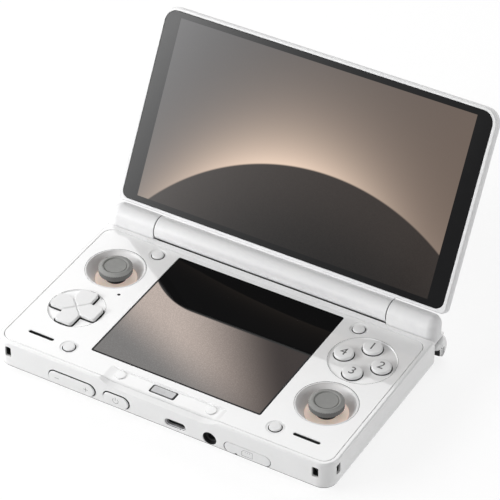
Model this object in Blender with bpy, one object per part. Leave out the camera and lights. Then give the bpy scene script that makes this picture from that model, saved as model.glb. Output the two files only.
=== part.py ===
"""A clamshell handheld game console, held open at its rest angle. Metres, +Z up, front towards -Y."""

import math

import bmesh
import bpy
from mathutils import Matrix, Vector

# Clearances
fit_gap = 0.00015
slide_gap = 0.00025
running_gap = 0.00008
cut_margin = 0.001

# Case
body_width = 0.1500
case_height = 0.0143
foot_height = 0.0006
side_depth = 0.0843
rear_block_inset = 0.0358
rear_block_depth = 0.0097
front_corner_radius = 0.0065
rear_corner_radius = 0.0015
deck_edge_radius = 0.0007
bottom_edge_radius = 0.0040
bottom_cover_height = 0.0022
wall_thickness = 0.0032
floor_thickness = 0.0016
rear_wall_thickness = 0.0026
saddle_drop = 0.0025
saddle_thickness = 0.0014
saddle_side_margin = 0.0010
saddle_fillet = 0.0022

# Deck panel
panel_side_margin = 0.00195
panel_front_margin = 0.0020
panel_rear_strip = 0.0025
panel_thickness = 0.0016
panel_corner_radius = 0.0046
panel_ledge = 0.0012

# Lower screen
lower_glass_side_margin = 0.0373
lower_glass_rear_margin = 0.00226
lower_glass_front = 0.01255
lower_glass_radius = 0.0008
lower_glass_thickness = 0.0008
lower_display_margin = 0.0003
lower_display_thickness = 0.0015
mid_plate_side_overlap = 0.0043
mid_plate_end_overlap = 0.00035
mid_plate_thickness = 0.0008

# Thumb sticks
control_inset = 0.0188
upper_row_setback = 0.02111
row_gap = 0.00252
well_radius = 0.01233
well_rim = 0.0006
well_floor_radius = 0.0086
well_depth = 0.0044
well_wall = 0.0011
light_ring_hole_radius = 0.0043
light_ring_thickness = 0.0008
ring_lip = 0.0010
ring_lip_thickness = 0.0005
stick_pivot_below_well = 0.0038
stick_cap_radius = 0.0070
stick_cap_rise = 0.0018
stick_cap_height = 0.0032
stick_ring_inset = 0.0017
stick_ring_step = 0.0003
stick_shoulder = 0.0006
stick_shaft_radius = 0.0015
stick_shaft_length = 0.0055
stick_click = 0.0004
dome_radius = 0.0046
dome_foot = 0.0010
gimbal_inner_radius = 0.0051
gimbal_outer_radius = 0.0062
gimbal_height = 0.0020
trunnion_radius = 0.0006
trunnion_length = 0.0014
stick_housing_room = 0.0005
stick_housing_wall = 0.0012
stick_housing_floor = 0.0010
stick_housing_rise = 0.0017

# Four-way pad
pad_reach = 0.0104
pad_arm_width = 0.0083
pad_rise = 0.0013
pad_ring_margin = 0.0009
pad_ring_depth = 0.0003
pad_swing_gap = 0.00055
pad_depth = 0.0036
pad_flange_inset = 0.0015
pad_flange_height = 0.0011
pad_pivot_radius = 0.0022
pad_pivot_drop = 0.0008
pad_pivot_height = 0.0017
pad_dish_depth = 0.0004
pad_groove_width = 0.0003

# Face buttons
face_ring_margin = 0.0012
face_pitch = 0.0082
face_radius = 0.00405
face_rise = 0.0013
face_travel = 0.0006
button_flange = 0.0008
button_flange_height = 0.0006
button_edge = 0.0004

# Small buttons
small_inset = 0.0290
small_rear_setback = 0.00551
small_front_y = 0.0096
small_radius = 0.0027
small_rise = 0.0005
small_travel = 0.0004

# Openings in the deck
slot_inset = 0.0158
slot_y = 0.0101
slot_length = 0.0115
slot_width = 0.0016
microphone_inset = 0.0287
microphone_row_gap = 0.0152
microphone_radius = 0.0005

# Recess in the front edge
recess_width = 0.0544
recess_end_slope = 0.0046
recess_depth = 0.0087
recess_drop = 0.0006
recess_lip = 0.0024
recess_chamfer = 0.0020
rest_pad_end_margin = 0.0024
rest_pad_y = 0.0060
rest_pad_radius = 0.0022
rest_pad_height = 0.0007
badge_width = 0.0107
badge_depth = 0.0039
badge_front = 0.0040
badge_x = -0.0008
badge_pocket = 0.0003
badge_thickness = 0.0005
badge_radius = 0.0004

# Front face
rocker_drop = 0.0082
rocker_length = 0.0209
rocker_height = 0.0055
key_proud = 0.0005
key_flange = 0.0009
key_flange_thickness = 0.0008
key_flange_gap = 0.00035
power_drop = 0.0080
power_length = 0.0113
power_height = 0.0052
usb_drop = 0.0087
usb_width = 0.0089
usb_height = 0.0032
usb_length = 0.0074
usb_shell = 0.0003
usb_tongue_width = 0.0066
usb_tongue_height = 0.0007
usb_back = 0.0010
usb_inset = 0.0004
jack_drop = 0.0089
jack_nose_radius = 0.0028
jack_bore_radius = 0.0018
jack_bore_depth = 0.0120
jack_width = 0.0066
jack_height = 0.0048
jack_length = 0.0130
jack_inset = 0.0002
door_drop = 0.0093
door_length = 0.0202
door_height = 0.0050
door_thickness = 0.0016
door_nail_radius = 0.0007
door_nail_offset = 0.0049
card_width = 0.0116
card_slot_height = 0.0014
reader_width = 0.0140
reader_length = 0.0150
reader_shell = 0.0006
lanyard_inset = 0.0066
lanyard_y = 0.0063
lanyard_drop = 0.0049
lanyard_width = 0.0026
lanyard_height = 0.0046

# Shoulder buttons
bumper_width = 0.0170
bumper_overhang = 0.0003
bumper_case_gap = 0.0014
bumper_rear_overhang = 0.0009
bumper_top_drop = 0.0042
bumper_bottom_drop = 0.0144
bumper_bulge = 0.0036
bumper_chamfer = 0.0026
bumper_end_recess = 0.0024
bumper_skin = 0.0062
bumper_pivot_side = 0.0017
bumper_pivot_behind = 0.0020
trigger_block_gap = 0.0013
trigger_bumper_gap = 0.0007
trigger_case_gap = 0.0024
trigger_pivot_behind = 0.0013
trigger_pivot_drop = 0.0064

# Hinge
hinge_setback = 0.00346
hinge_rise = 0.00273
barrel_radius = 0.00485
barrel_inset = 0.0219
barrel_end_gap = 0.0003
knuckle_side_margin = 0.0007
knuckle_round = 0.0036
hinge_pin_radius = 0.0015
hinge_pin_reach = 0.0120
hinge_pin_depth = 0.0150

# Lid
lid_open_angle = math.radians(119.86)
closed_gap = 0.00249
lid_lower_lip = 0.0015
lid_upper_lip = 0.0014
lid_side_lip = 0.001775
lid_front_overhang = 0.00007
upper_glass_offset = 0.00693
upper_glass_radius = 0.0050
upper_glass_thickness = 0.0009
lid_corner_radius = 0.0065
lid_thickness = 0.0082
lid_frame_thickness = 0.0015
lid_rim_round = 0.0006
lid_side_height = 0.0032
lid_back_round = 0.0050
lid_back_thickness = 0.0018
lid_wall = 0.0022
display_ledge = 0.0036
upper_display_margin = 0.0004
upper_display_thickness = 0.0018
web_depth = 0.0014

# Insides
board_drop = 0.0059
board_thickness = 0.0010
board_front = 0.0052
board_side_gap = 0.0008
board_hole_radius = 0.0116
battery_width = 0.0680
battery_front = 0.0200
battery_fan_gap = 0.0030
below_board_gap = 0.00125
battery_edge = 0.0006
fan_width = 0.0340
fan_depth = 0.0268
fan_floor = 0.0006
fan_well_radius = 0.0124
fan_intake_radius = 0.0022
fan_intake_circle = 0.0058
rotor_radius = 0.0110
rotor_hub_radius = 0.0042
rotor_plate = 0.0005
rotor_height = 0.0030
blade_thickness = 0.0006
blade_length = 0.0052
sink_depth = 0.0028
sink_rear_gap = 0.00055
sink_plate = 0.0006
sink_fin = 0.0006
vent_width = 0.0014
vent_height = 0.0050
vent_pitch = 0.0036
intake_slot_length = 0.0180
intake_slot_width = 0.0012
intake_slot_pitch = 0.0030
speaker_width = 0.0170
speaker_depth = 0.0094
speaker_height = 0.0034
speaker_edge = 0.0006

# Feet
foot_radius = 0.0040
foot_pocket = 0.0005
foot_inset = 0.0110
foot_front_y = 0.0120
foot_rear_setback = 0.0103

# Counts and shares
circle_steps = 32
button_steps = 20
pin_steps = 12
corner_steps = 4
round_steps = 3
pill_steps = 6
fin_count = 8
vent_count = 9
intake_slot_count = 5
blade_count = 9
intake_hole_count = 4
cap_foot_share = 0.90
jack_nose_share = 0.35

# The free width of the front face, dealt out before, between and after its five features
front_gap_shares = (25.65, 4.1, 16.3, 7.9, 3.55, 25.6)

# Heights and edges that follow from the sizes above
deck_z = foot_height + case_height
half_width = body_width / 2
split_z = foot_height + bottom_cover_height
floor_z = foot_height + floor_thickness
rear_block_width = body_width - 2 * rear_block_inset
rear_face = side_depth + rear_block_depth
hinge_y = side_depth + hinge_setback
hinge_z = deck_z + hinge_rise
saddle_front = hinge_y - barrel_radius - 2 * fit_gap
saddle_z = deck_z - saddle_drop
saddle_rear = hinge_y + barrel_radius
panel_rear = saddle_front - panel_rear_strip
board_top = deck_z - board_drop
board_bottom = board_top - board_thickness

# Places on the deck
lower_glass_width = body_width - 2 * lower_glass_side_margin
lower_glass_depth = panel_rear - lower_glass_rear_margin - lower_glass_front
mid_plate_width = lower_glass_width + 2 * mid_plate_side_overlap
mid_plate_depth = lower_glass_depth + 2 * mid_plate_end_overlap
face_ring_radius = face_pitch + face_radius + face_ring_margin
pad_ring_radius = pad_reach + pad_ring_margin
pad_flange_radius = pad_reach - pad_flange_inset
control_x = half_width - control_inset
upper_row_y = panel_rear - upper_row_setback
lower_row_y = upper_row_y - face_ring_radius - row_gap - well_radius
stick_pivot_depth = well_depth + stick_pivot_below_well
stick_ring_radius = stick_cap_radius - stick_ring_inset
small_x = half_width - small_inset
small_rear_y = panel_rear - small_rear_setback
slot_x = half_width - slot_inset
microphone_x = half_width - microphone_inset
microphone_y = lower_row_y + microphone_row_gap
recess_floor_width = recess_width - 2 * recess_end_slope
rest_pad_x = recess_floor_width / 2 - rest_pad_end_margin

# Places on the front face, from left to right
front_lengths = (rocker_length, power_length, usb_width, 2 * jack_nose_radius, door_length)
front_free_width = body_width - sum(front_lengths)
front_places = []
reached = -half_width
for length, share in zip(front_lengths, front_gap_shares):
    reached += front_free_width * share / sum(front_gap_shares)
    front_places.append(reached + length / 2)
    reached += length
rocker_x, power_x, usb_x, jack_x, door_x = front_places
lanyard_x = half_width - lanyard_inset

# Places of the shoulder buttons, the hinge and the lid
bumper_inner_x = half_width - bumper_width
bumper_front = side_depth + bumper_case_gap
bumper_rear = rear_face + bumper_rear_overhang
bumper_pivot_x = bumper_inner_x + bumper_pivot_side
bumper_pivot_y = bumper_front + bumper_pivot_behind
trigger_inner_x = rear_block_width / 2 + trigger_block_gap
trigger_outer_x = bumper_inner_x - trigger_bumper_gap
trigger_front = side_depth + trigger_case_gap
trigger_pivot_y = trigger_front + trigger_pivot_behind
barrel_width = body_width - 2 * barrel_inset
knuckle_inner_x = barrel_width / 2 + barrel_end_gap
knuckle_outer_x = half_width - knuckle_side_margin
upper_glass_width = body_width - 2 * lid_side_lip
upper_glass_height = hinge_y + lid_front_overhang - lid_upper_lip - upper_glass_offset
lid_tilt = math.pi - lid_open_angle
glass_level = hinge_rise - closed_gap

# Places of the insides and the feet
block_rear = rear_face - rear_wall_thickness
sink_front = block_rear - sink_rear_gap - sink_depth
fan_front = sink_front - slide_gap - fan_depth
battery_depth = fan_front - battery_fan_gap - battery_front
battery_height = board_bottom - below_board_gap - floor_z - fit_gap
fan_height = battery_height
foot_x = half_width - foot_inset
foot_rear_y = side_depth - foot_rear_setback


def new_object(name, points, faces):
    mesh = bpy.data.meshes.new(name)
    mesh.from_pydata([tuple(point) for point in points], [], faces)
    shape = bmesh.new()
    shape.from_mesh(mesh)
    bmesh.ops.recalc_face_normals(shape, faces=shape.faces)
    shape.to_mesh(mesh)
    shape.free()
    thing = bpy.data.objects.new(name, mesh)
    bpy.context.collection.objects.link(thing)
    return thing


def loft(name, rings):
    """A closed solid through rings of equally many points, with a flat cap on each end."""
    count = len(rings[0])
    points = [point for ring in rings for point in ring]
    faces = [tuple(range(count)), tuple(range(len(points) - count, len(points)))]
    for level in range(len(rings) - 1):
        start = level * count
        for step in range(count):
            after = (step + 1) % count
            faces.append((start + step, start + after, start + count + after, start + count + step))
    return new_object(name, points, faces)


def upright(name, outline, low, high):
    """The plan outline raised from one height to another."""
    return loft(name, [[(x, y, low) for x, y in outline], [(x, y, high) for x, y in outline]])


def forward(name, outline, front, back):
    """The outline, seen from the front, drawn out from one depth to another."""
    return loft(name, [[(x, front, z) for x, z in outline], [(x, back, z) for x, z in outline]])


def sideways(name, outline, left, right):
    """The outline, seen from the side, drawn out from one width to another."""
    return loft(name, [[(left, y, z) for y, z in outline], [(right, y, z) for y, z in outline]])


def box(name, left, right, front, back, low, high):
    return upright(name, [(left, front), (right, front), (right, back), (left, back)], low, high)


def circle(centre_x, centre_y, radius, steps):
    turn = 2 * math.pi / steps
    return [
        (centre_x + radius * math.cos(turn * i), centre_y + radius * math.sin(turn * i))
        for i in range(steps)
    ]


def arc(centre_x, centre_y, radius, start, end, steps):
    angles = [start + (end - start) * i / steps for i in range(steps + 1)]
    return [(centre_x + radius * math.cos(a), centre_y + radius * math.sin(a)) for a in angles]


def rounded(left, right, low, high, radius):
    quarter = math.pi / 2
    corners = (
        (right - radius, low + radius, -quarter),
        (right - radius, high - radius, 0),
        (left + radius, high - radius, quarter),
        (left + radius, low + radius, 2 * quarter),
    )
    outline = []
    for x, y, start in corners:
        outline += arc(x, y, radius, start, start + quarter, corner_steps)
    return outline


def pill(centre_x, centre_y, length, height):
    radius = height / 2
    quarter = math.pi / 2
    reach = length / 2 - radius
    right = arc(centre_x + reach, centre_y, radius, -quarter, quarter, pill_steps)
    left = arc(centre_x - reach, centre_y, radius, quarter, 3 * quarter, pill_steps)
    return right + left


def turned(name, profile, centre_x, centre_y, steps):
    """The profile of radius and height turned once about an upright axis."""
    points = []
    starts = []
    for radius, height in profile:
        starts.append(len(points))
        if radius == 0:
            points.append((centre_x, centre_y, height))
        else:
            points += [(x, y, height) for x, y in circle(centre_x, centre_y, radius, steps)]
    faces = []
    for i, (radius, _) in enumerate(profile):
        j = (i + 1) % len(profile)
        for step in range(steps):
            after = (step + 1) % steps
            here = [starts[i]] if radius == 0 else [starts[i] + step, starts[i] + after]
            there = [starts[j]] if profile[j][0] == 0 else [starts[j] + after, starts[j] + step]
            if len(here + there) > 2:
                faces.append(tuple(here + there))
    return new_object(name, points, faces)


def combine(target, tool, operation):
    modifier = target.modifiers.new(operation.lower(), "BOOLEAN")
    modifier.operation = operation
    modifier.solver = "EXACT"
    modifier.object = tool
    bpy.context.view_layer.objects.active = target
    bpy.ops.object.modifier_apply(modifier=modifier.name)
    bpy.data.objects.remove(tool)


def cut(target, tool):
    combine(target, tool, "DIFFERENCE")


def join(target, tool):
    combine(target, tool, "UNION")


def keep(target, tool):
    combine(target, tool, "INTERSECT")


def in_triangles(thing):
    """The same solid in flat faces only, for a cutter whose sides twist."""
    shape = bmesh.new()
    shape.from_mesh(thing.data)
    bmesh.ops.triangulate(shape, faces=shape.faces)
    shape.to_mesh(thing.data)
    shape.free()
    return thing


def set_origin(thing, x, y, z):
    point = Vector((x, y, z))
    thing.data.transform(Matrix.Translation(-point))
    thing.location = point


def surface(name, colour, roughness, metallic):
    material = bpy.data.materials.new(name)
    material.use_nodes = True
    shader = material.node_tree.nodes["Principled BSDF"]
    shader.inputs["Base Color"].default_value = (*colour, 1)
    shader.inputs["Roughness"].default_value = roughness
    shader.inputs["Metallic"].default_value = metallic
    return material


for leftover in list(bpy.data.objects):
    bpy.data.objects.remove(leftover)

white_shell = surface("white_shell", (0.86, 0.86, 0.86), 0.42, 0)
white_key = surface("white_key", (0.88, 0.88, 0.88), 0.35, 0)
stick_rubber = surface("stick_rubber", (0.22, 0.22, 0.21), 0.75, 0)
black_plastic = surface("black_plastic", (0.015, 0.015, 0.016), 0.5, 0)
screen_glass = surface("screen_glass", (0.01, 0.01, 0.012), 0.06, 0)
display_stack = surface("display_stack", (0.05, 0.05, 0.055), 0.3, 0)
light_guide = surface("light_guide", (0.83, 0.70, 0.62), 0.5, 0)
badge_metal = surface("badge_metal", (0.45, 0.45, 0.46), 0.4, 0.8)
plain_steel = surface("plain_steel", (0.55, 0.55, 0.56), 0.35, 1)
sink_aluminium = surface("sink_aluminium", (0.60, 0.61, 0.62), 0.4, 1)
board_resin = surface("board_resin", (0.02, 0.09, 0.05), 0.45, 0)
foot_rubber = surface("foot_rubber", (0.35, 0.35, 0.35), 0.85, 0)


def finish(thing, material):
    thing.data.materials.clear()
    thing.data.materials.append(material)
    thing.data.shade_smooth()
    thing.data.set_sharp_from_angle(angle=math.radians(30))


def case_outline(inset):
    """The plan of the lower half, with a narrower block behind it, drawn in by the inset."""
    quarter = math.pi / 2
    side = half_width - inset
    rear = side_depth - inset
    block = rear_block_width / 2 - inset
    back = rear_face - inset
    front_round = front_corner_radius - inset
    rear_round = max(rear_corner_radius - inset, fit_gap)
    outline = arc(side - front_round, inset + front_round, front_round, -quarter, 0, corner_steps)
    outline += arc(side - rear_round, rear - rear_round, rear_round, 0, quarter, round_steps)
    outline.append((block, rear))
    outline += arc(block - rear_round, back - rear_round, rear_round, 0, quarter, round_steps)
    outline += arc(rear_round - block, back - rear_round, rear_round, quarter, 2 * quarter, round_steps)
    outline.append((-block, rear))
    outline += arc(rear_round - side, rear - rear_round, rear_round, quarter, 2 * quarter, round_steps)
    outline += arc(
        front_round - side, inset + front_round, front_round, 2 * quarter, 3 * quarter, corner_steps
    )
    return outline


def case_solid(name):
    """The whole lower half, rounded below and, less, above."""
    rings = []
    for i in range(round_steps + 2):
        angle = math.pi / 2 * i / (round_steps + 1)
        inset = bottom_edge_radius * (1 - math.sin(angle))
        height = foot_height + bottom_edge_radius * (1 - math.cos(angle))
        rings.append([(x, y, height) for x, y in case_outline(inset)])
    for i in range(round_steps):
        angle = math.pi / 2 * i / (round_steps - 1)
        inset = deck_edge_radius * (1 - math.cos(angle))
        height = deck_z - deck_edge_radius * (1 - math.sin(angle))
        rings.append([(x, y, height) for x, y in case_outline(inset)])
    return loft(name, rings)


cavity_side = half_width - wall_thickness
cavity_rear = panel_rear - panel_ledge
block_side = rear_block_width / 2 - wall_thickness

# Bottom cover
lower_case = case_solid("lower_case")
keep(
    lower_case,
    box("low", -body_width, body_width, -body_width, body_width, -case_height, split_z - fit_gap),
)
hollow_radius = front_corner_radius - wall_thickness
cut(
    lower_case,
    upright(
        "hollow",
        rounded(-cavity_side, cavity_side, wall_thickness, cavity_rear, hollow_radius),
        floor_z,
        deck_z,
    ),
)
cut(
    lower_case,
    box("block_hollow", -block_side, block_side, cavity_rear - cut_margin, block_rear, floor_z, deck_z),
)
for slot in range(intake_slot_count):
    slot_place = fan_front + fan_depth / 2 + (slot - (intake_slot_count - 1) / 2) * intake_slot_pitch
    slot_edges = (slot_place - intake_slot_width / 2, slot_place + intake_slot_width / 2)
    cut(lower_case, box("slot", -intake_slot_length / 2, intake_slot_length / 2, *slot_edges, 0, deck_z))
foot_places = [
    (side, place) for side in (-1, 1) for place in (foot_front_y, foot_rear_y)
]
for side, place in foot_places:
    pocket = circle(side * foot_x, place, foot_radius + fit_gap, button_steps)
    cut(lower_case, upright("pocket", pocket, -foot_height, foot_height + foot_pocket))
finish(lower_case, white_shell)

# Feet
foot_names = ("left_front_foot", "left_rear_foot", "right_front_foot", "right_rear_foot")
for name, (side, place) in zip(foot_names, foot_places):
    outline = circle(side * foot_x, place, foot_radius, button_steps)
    finish(upright(name, outline, 0, foot_height + foot_pocket - fit_gap), foot_rubber)

# Upper case
upper_case = case_solid("upper_case")
keep(
    upper_case, box("high", -body_width, body_width, -body_width, body_width, split_z, deck_z + case_height)
)
panel_seat = deck_z - panel_thickness - fit_gap
cut(
    upper_case,
    upright(
        "hollow",
        rounded(-cavity_side, cavity_side, wall_thickness, cavity_rear, hollow_radius),
        0,
        panel_seat,
    ),
)
block_top = saddle_z - saddle_thickness
cut(
    upper_case,
    box("block_hollow", -block_side, block_side, cavity_rear - cut_margin, block_rear, 0, block_top),
)
panel_side = half_width - panel_side_margin
panel_opening = rounded(
    -panel_side - fit_gap,
    panel_side + fit_gap,
    panel_front_margin - fit_gap,
    panel_rear + fit_gap,
    panel_corner_radius,
)
cut(upper_case, upright("panel_opening", panel_opening, panel_seat - cut_margin, deck_z + cut_margin))
cut(
    upper_case,
    box("trough", -body_width, body_width, saddle_front, body_width, saddle_z, deck_z + cut_margin),
)
saddle_side = half_width - saddle_side_margin
saddle_under = saddle_z - saddle_thickness
saddle_start = side_depth - cut_margin
saddle_profile = [
    (saddle_start, saddle_z - fit_gap), (saddle_rear, saddle_z - fit_gap), (saddle_rear, saddle_under)
]
saddle_profile += arc(
    side_depth + saddle_fillet,
    saddle_under - saddle_fillet,
    saddle_fillet,
    math.pi / 2,
    math.pi,
    round_steps,
)
saddle_profile.append((saddle_start, saddle_under - saddle_fillet))
for side in (-1, 1):
    inner_edge = side * (rear_block_width / 2 - cut_margin)
    join(upper_case, sideways("saddle", saddle_profile, inner_edge, side * saddle_side))


def recess_ring(x, drop, chamfer):
    """One side view of the finger recess, as deep as the drop and cut away towards the front."""
    floor = deck_z - drop
    above = deck_z + cut_margin
    lip_slope = chamfer / recess_lip
    front = floor - chamfer - lip_slope * cut_margin
    outline = (
        (-cut_margin, above),
        (recess_depth, above),
        (recess_depth, floor),
        (recess_lip, floor),
        (-cut_margin, front),
    )
    return [(x, y, z) for y, z in outline]


def recess_cutter():
    side = recess_width / 2
    floor_side = recess_floor_width / 2
    rings = [
        recess_ring(-side, -fit_gap, 0),
        recess_ring(-floor_side, recess_drop, recess_chamfer),
        recess_ring(floor_side, recess_drop, recess_chamfer),
        recess_ring(side, -fit_gap, 0),
    ]
    return in_triangles(loft("recess", rings))


cut(upper_case, recess_cutter())


def key_hole(outline):
    return forward("key_hole", outline, -wall_thickness, wall_thickness + cut_margin)


rocker_z = deck_z - rocker_drop
power_z = deck_z - power_drop
usb_z = deck_z - usb_drop
jack_z = deck_z - jack_drop
door_z = deck_z - door_drop
lanyard_z = deck_z - lanyard_drop
hole_grow = 2 * slide_gap
fit_grow = 2 * fit_gap
cut(upper_case, key_hole(pill(rocker_x, rocker_z, rocker_length + hole_grow, rocker_height + hole_grow)))
cut(upper_case, key_hole(pill(power_x, power_z, power_length + hole_grow, power_height + hole_grow)))
cut(upper_case, key_hole(pill(usb_x, usb_z, usb_width + fit_grow, usb_height + fit_grow)))
cut(upper_case, key_hole(circle(jack_x, jack_z, jack_nose_radius + fit_gap, button_steps)))
door_recess = pill(door_x, door_z, door_length + fit_grow, door_height + fit_grow)
cut(upper_case, forward("door_recess", door_recess, -wall_thickness, door_thickness + fit_gap))
card_hole = rounded(
    door_x - card_width / 2,
    door_x + card_width / 2,
    door_z - card_slot_height / 2,
    door_z + card_slot_height / 2,
    slide_gap,
)
cut(upper_case, key_hole(card_hole))
half_lanyard = lanyard_width / 2
lanyard_low = lanyard_z - lanyard_height / 2
lanyard_high = lanyard_z + lanyard_height / 2
for side in (-1, 1):
    place = side * lanyard_x
    front_slot = rounded(
        place - half_lanyard, place + half_lanyard, lanyard_low, lanyard_high, badge_radius
    )
    cut(upper_case, key_hole(front_slot))
    side_slot = rounded(
        lanyard_y - half_lanyard, lanyard_y + half_lanyard, lanyard_low, lanyard_high, badge_radius
    )
    cut(upper_case, sideways("side_slot", side_slot, side * (cavity_side - cut_margin), side * body_width))
vent_low = split_z + vent_width
for i in range(vent_count):
    vent_x = (i - (vent_count - 1) / 2) * vent_pitch
    vent_edges = (
        vent_x - vent_width / 2, vent_x + vent_width / 2, block_rear - cut_margin, rear_face + cut_margin
    )
    cut(upper_case, box("vent", *vent_edges, vent_low, vent_low + vent_height))
finish(upper_case, white_shell)

# Hinge knuckles and pins
knuckle_low = saddle_z + fit_gap


def knuckle_ring(x, inset):
    radius = barrel_radius - inset
    ring = [(hinge_y + radius, knuckle_low), *arc(hinge_y, hinge_z, radius, 0, math.pi, 2 * corner_steps)]
    ring.append((hinge_y - radius, knuckle_low))
    return [(x, y, z) for y, z in ring]


for word, side in (("left", -1), ("right", 1)):
    rings = [knuckle_ring(side * knuckle_inner_x, 0)]
    for i in range(round_steps + 2):
        angle = math.pi / 2 * i / (round_steps + 1)
        inset = knuckle_round * (1 - math.cos(angle))
        rings.append(knuckle_ring(side * (knuckle_outer_x - knuckle_round * (1 - math.sin(angle))), inset))
    knuckle = loft(word + "_hinge_knuckle", rings)
    pin_outer = knuckle_inner_x + hinge_pin_depth
    pin_hole = circle(hinge_y, hinge_z, hinge_pin_radius + fit_gap, pin_steps)
    hole_ends = (side * (knuckle_inner_x - cut_margin), side * (pin_outer + fit_gap))
    cut(knuckle, sideways("pin_hole", pin_hole, *hole_ends))
    finish(knuckle, white_shell)
    pin_outline = circle(hinge_y, hinge_z, hinge_pin_radius, pin_steps)
    pin_inner = barrel_width / 2 - hinge_pin_reach
    pin = sideways(word + "_hinge_pin", pin_outline, side * pin_inner, side * pin_outer)
    set_origin(pin, 0, hinge_y, hinge_z)
    finish(pin, plain_steel)

# Deck panel
panel_low = deck_z - panel_thickness
deck_panel = upright(
    "deck_panel",
    rounded(-panel_side, panel_side, panel_front_margin, panel_rear, panel_corner_radius),
    panel_low,
    deck_z,
)
below_panel = panel_low - cut_margin
above_deck = deck_z + cut_margin
glass_side = lower_glass_width / 2
glass_rear = lower_glass_front + lower_glass_depth
window = rounded(
    -glass_side - fit_gap,
    glass_side + fit_gap,
    lower_glass_front - fit_gap,
    glass_rear + fit_gap,
    lower_glass_radius,
)
cut(deck_panel, upright("window", window, below_panel, above_deck))
cut(deck_panel, recess_cutter())
stick_places = (("left", -control_x, upper_row_y), ("right", control_x, lower_row_y))
pad_place = (-control_x, lower_row_y)
face_place = (control_x, upper_row_y)
for _, x, y in stick_places:
    cut(
        deck_panel,
        upright("well_hole", circle(x, y, well_radius + fit_gap, circle_steps), below_panel, above_deck),
    )
ring_floor = deck_z - pad_ring_depth
cut(
    deck_panel,
    upright("pad_ring", circle(*pad_place, pad_ring_radius, circle_steps), ring_floor, above_deck),
)
cut(
    deck_panel,
    upright("face_ring", circle(*face_place, face_ring_radius, circle_steps), ring_floor, above_deck),
)


def cross(centre_x, centre_y, reach, arm_width):
    half = arm_width / 2
    corner = (
        (reach, -half), (reach, half), (half, half), (half, reach), (-half, reach), (-half, half),
        (-reach, half), (-reach, -half), (-half, -half), (-half, -reach), (half, -reach), (half, -half),
    )
    return [(centre_x + x, centre_y + y) for x, y in corner]


pad_hole = cross(*pad_place, pad_reach + pad_swing_gap, pad_arm_width + 2 * pad_swing_gap)
cut(deck_panel, upright("pad_hole", pad_hole, below_panel, above_deck))
face_places = [
    (
        face_place[0] + face_pitch * math.cos(math.pi / 2 * i),
        face_place[1] + face_pitch * math.sin(math.pi / 2 * i),
    )
    for i in range(4)
]
for x, y in face_places:
    cut(
        deck_panel,
        upright("face_hole", circle(x, y, face_radius + slide_gap, button_steps), below_panel, above_deck),
    )
small_places = (
    ("left_rear_button", -small_x, small_rear_y),
    ("left_front_button", -small_x, small_front_y),
    ("right_rear_button", small_x, small_rear_y),
    ("right_front_button", small_x, small_front_y),
)
for _, x, y in small_places:
    cut(
        deck_panel,
        upright(
            "small_hole", circle(x, y, small_radius + slide_gap, button_steps), below_panel, above_deck
        ),
    )
for side in (-1, 1):
    slot_outline = pill(side * slot_x, slot_y, slot_length, slot_width)
    cut(deck_panel, upright("speaker_slot", slot_outline, below_panel, above_deck))
cut(
    deck_panel,
    upright(
        "microphone",
        circle(-microphone_x, microphone_y, microphone_radius, pin_steps),
        below_panel,
        above_deck,
    ),
)
badge_side = badge_width / 2
recess_floor = deck_z - recess_drop
badge_floor = recess_floor - badge_pocket
badge_grow = (
    badge_x - badge_side - fit_gap,
    badge_x + badge_side + fit_gap,
    badge_front - fit_gap,
    badge_front + badge_depth + fit_gap,
    badge_radius,
)
cut(deck_panel, upright("badge_pocket", rounded(*badge_grow), badge_floor, above_deck))
for side in (-1, 1):
    pad_pocket = circle(side * rest_pad_x, rest_pad_y, rest_pad_radius + fit_gap, button_steps)
    cut(deck_panel, upright("pad_pocket", pad_pocket, badge_floor, above_deck))
finish(deck_panel, white_shell)

# Blank badge
badge_edges = (
    badge_x - badge_side, badge_x + badge_side, badge_front, badge_front + badge_depth, badge_radius
)
front_badge = upright(
    "front_badge", rounded(*badge_edges), badge_floor + fit_gap, badge_floor + badge_thickness
)
finish(front_badge, badge_metal)

# Soft pads that meet the closed lid
pad_start = badge_floor + fit_gap
for word, side in (("left", -1), ("right", 1)):
    pad_outline = circle(side * rest_pad_x, rest_pad_y, rest_pad_radius, button_steps)
    finish(upright(word + "_rest_pad", pad_outline, pad_start, pad_start + rest_pad_height), white_key)

# Lower screen
glass_low = deck_z - lower_glass_thickness
lower_glass = upright(
    "lower_glass",
    rounded(-glass_side, glass_side, lower_glass_front, glass_rear, lower_glass_radius),
    glass_low,
    deck_z,
)
finish(lower_glass, screen_glass)
display_side = glass_side - lower_display_margin
display_top = glass_low - fit_gap
display_low = display_top - lower_display_thickness
lower_display = box(
    "lower_display",
    -display_side,
    display_side,
    lower_glass_front + lower_display_margin,
    glass_rear - lower_display_margin,
    display_low,
    display_top,
)
finish(lower_display, display_stack)
plate_top = display_low - fit_gap
plate_middle = lower_glass_front + lower_glass_depth / 2
mid_plate = box(
    "mid_plate",
    -mid_plate_width / 2,
    mid_plate_width / 2,
    plate_middle - mid_plate_depth / 2,
    plate_middle + mid_plate_depth / 2,
    plate_top - mid_plate_thickness,
    plate_top,
)
finish(mid_plate, sink_aluminium)

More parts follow.
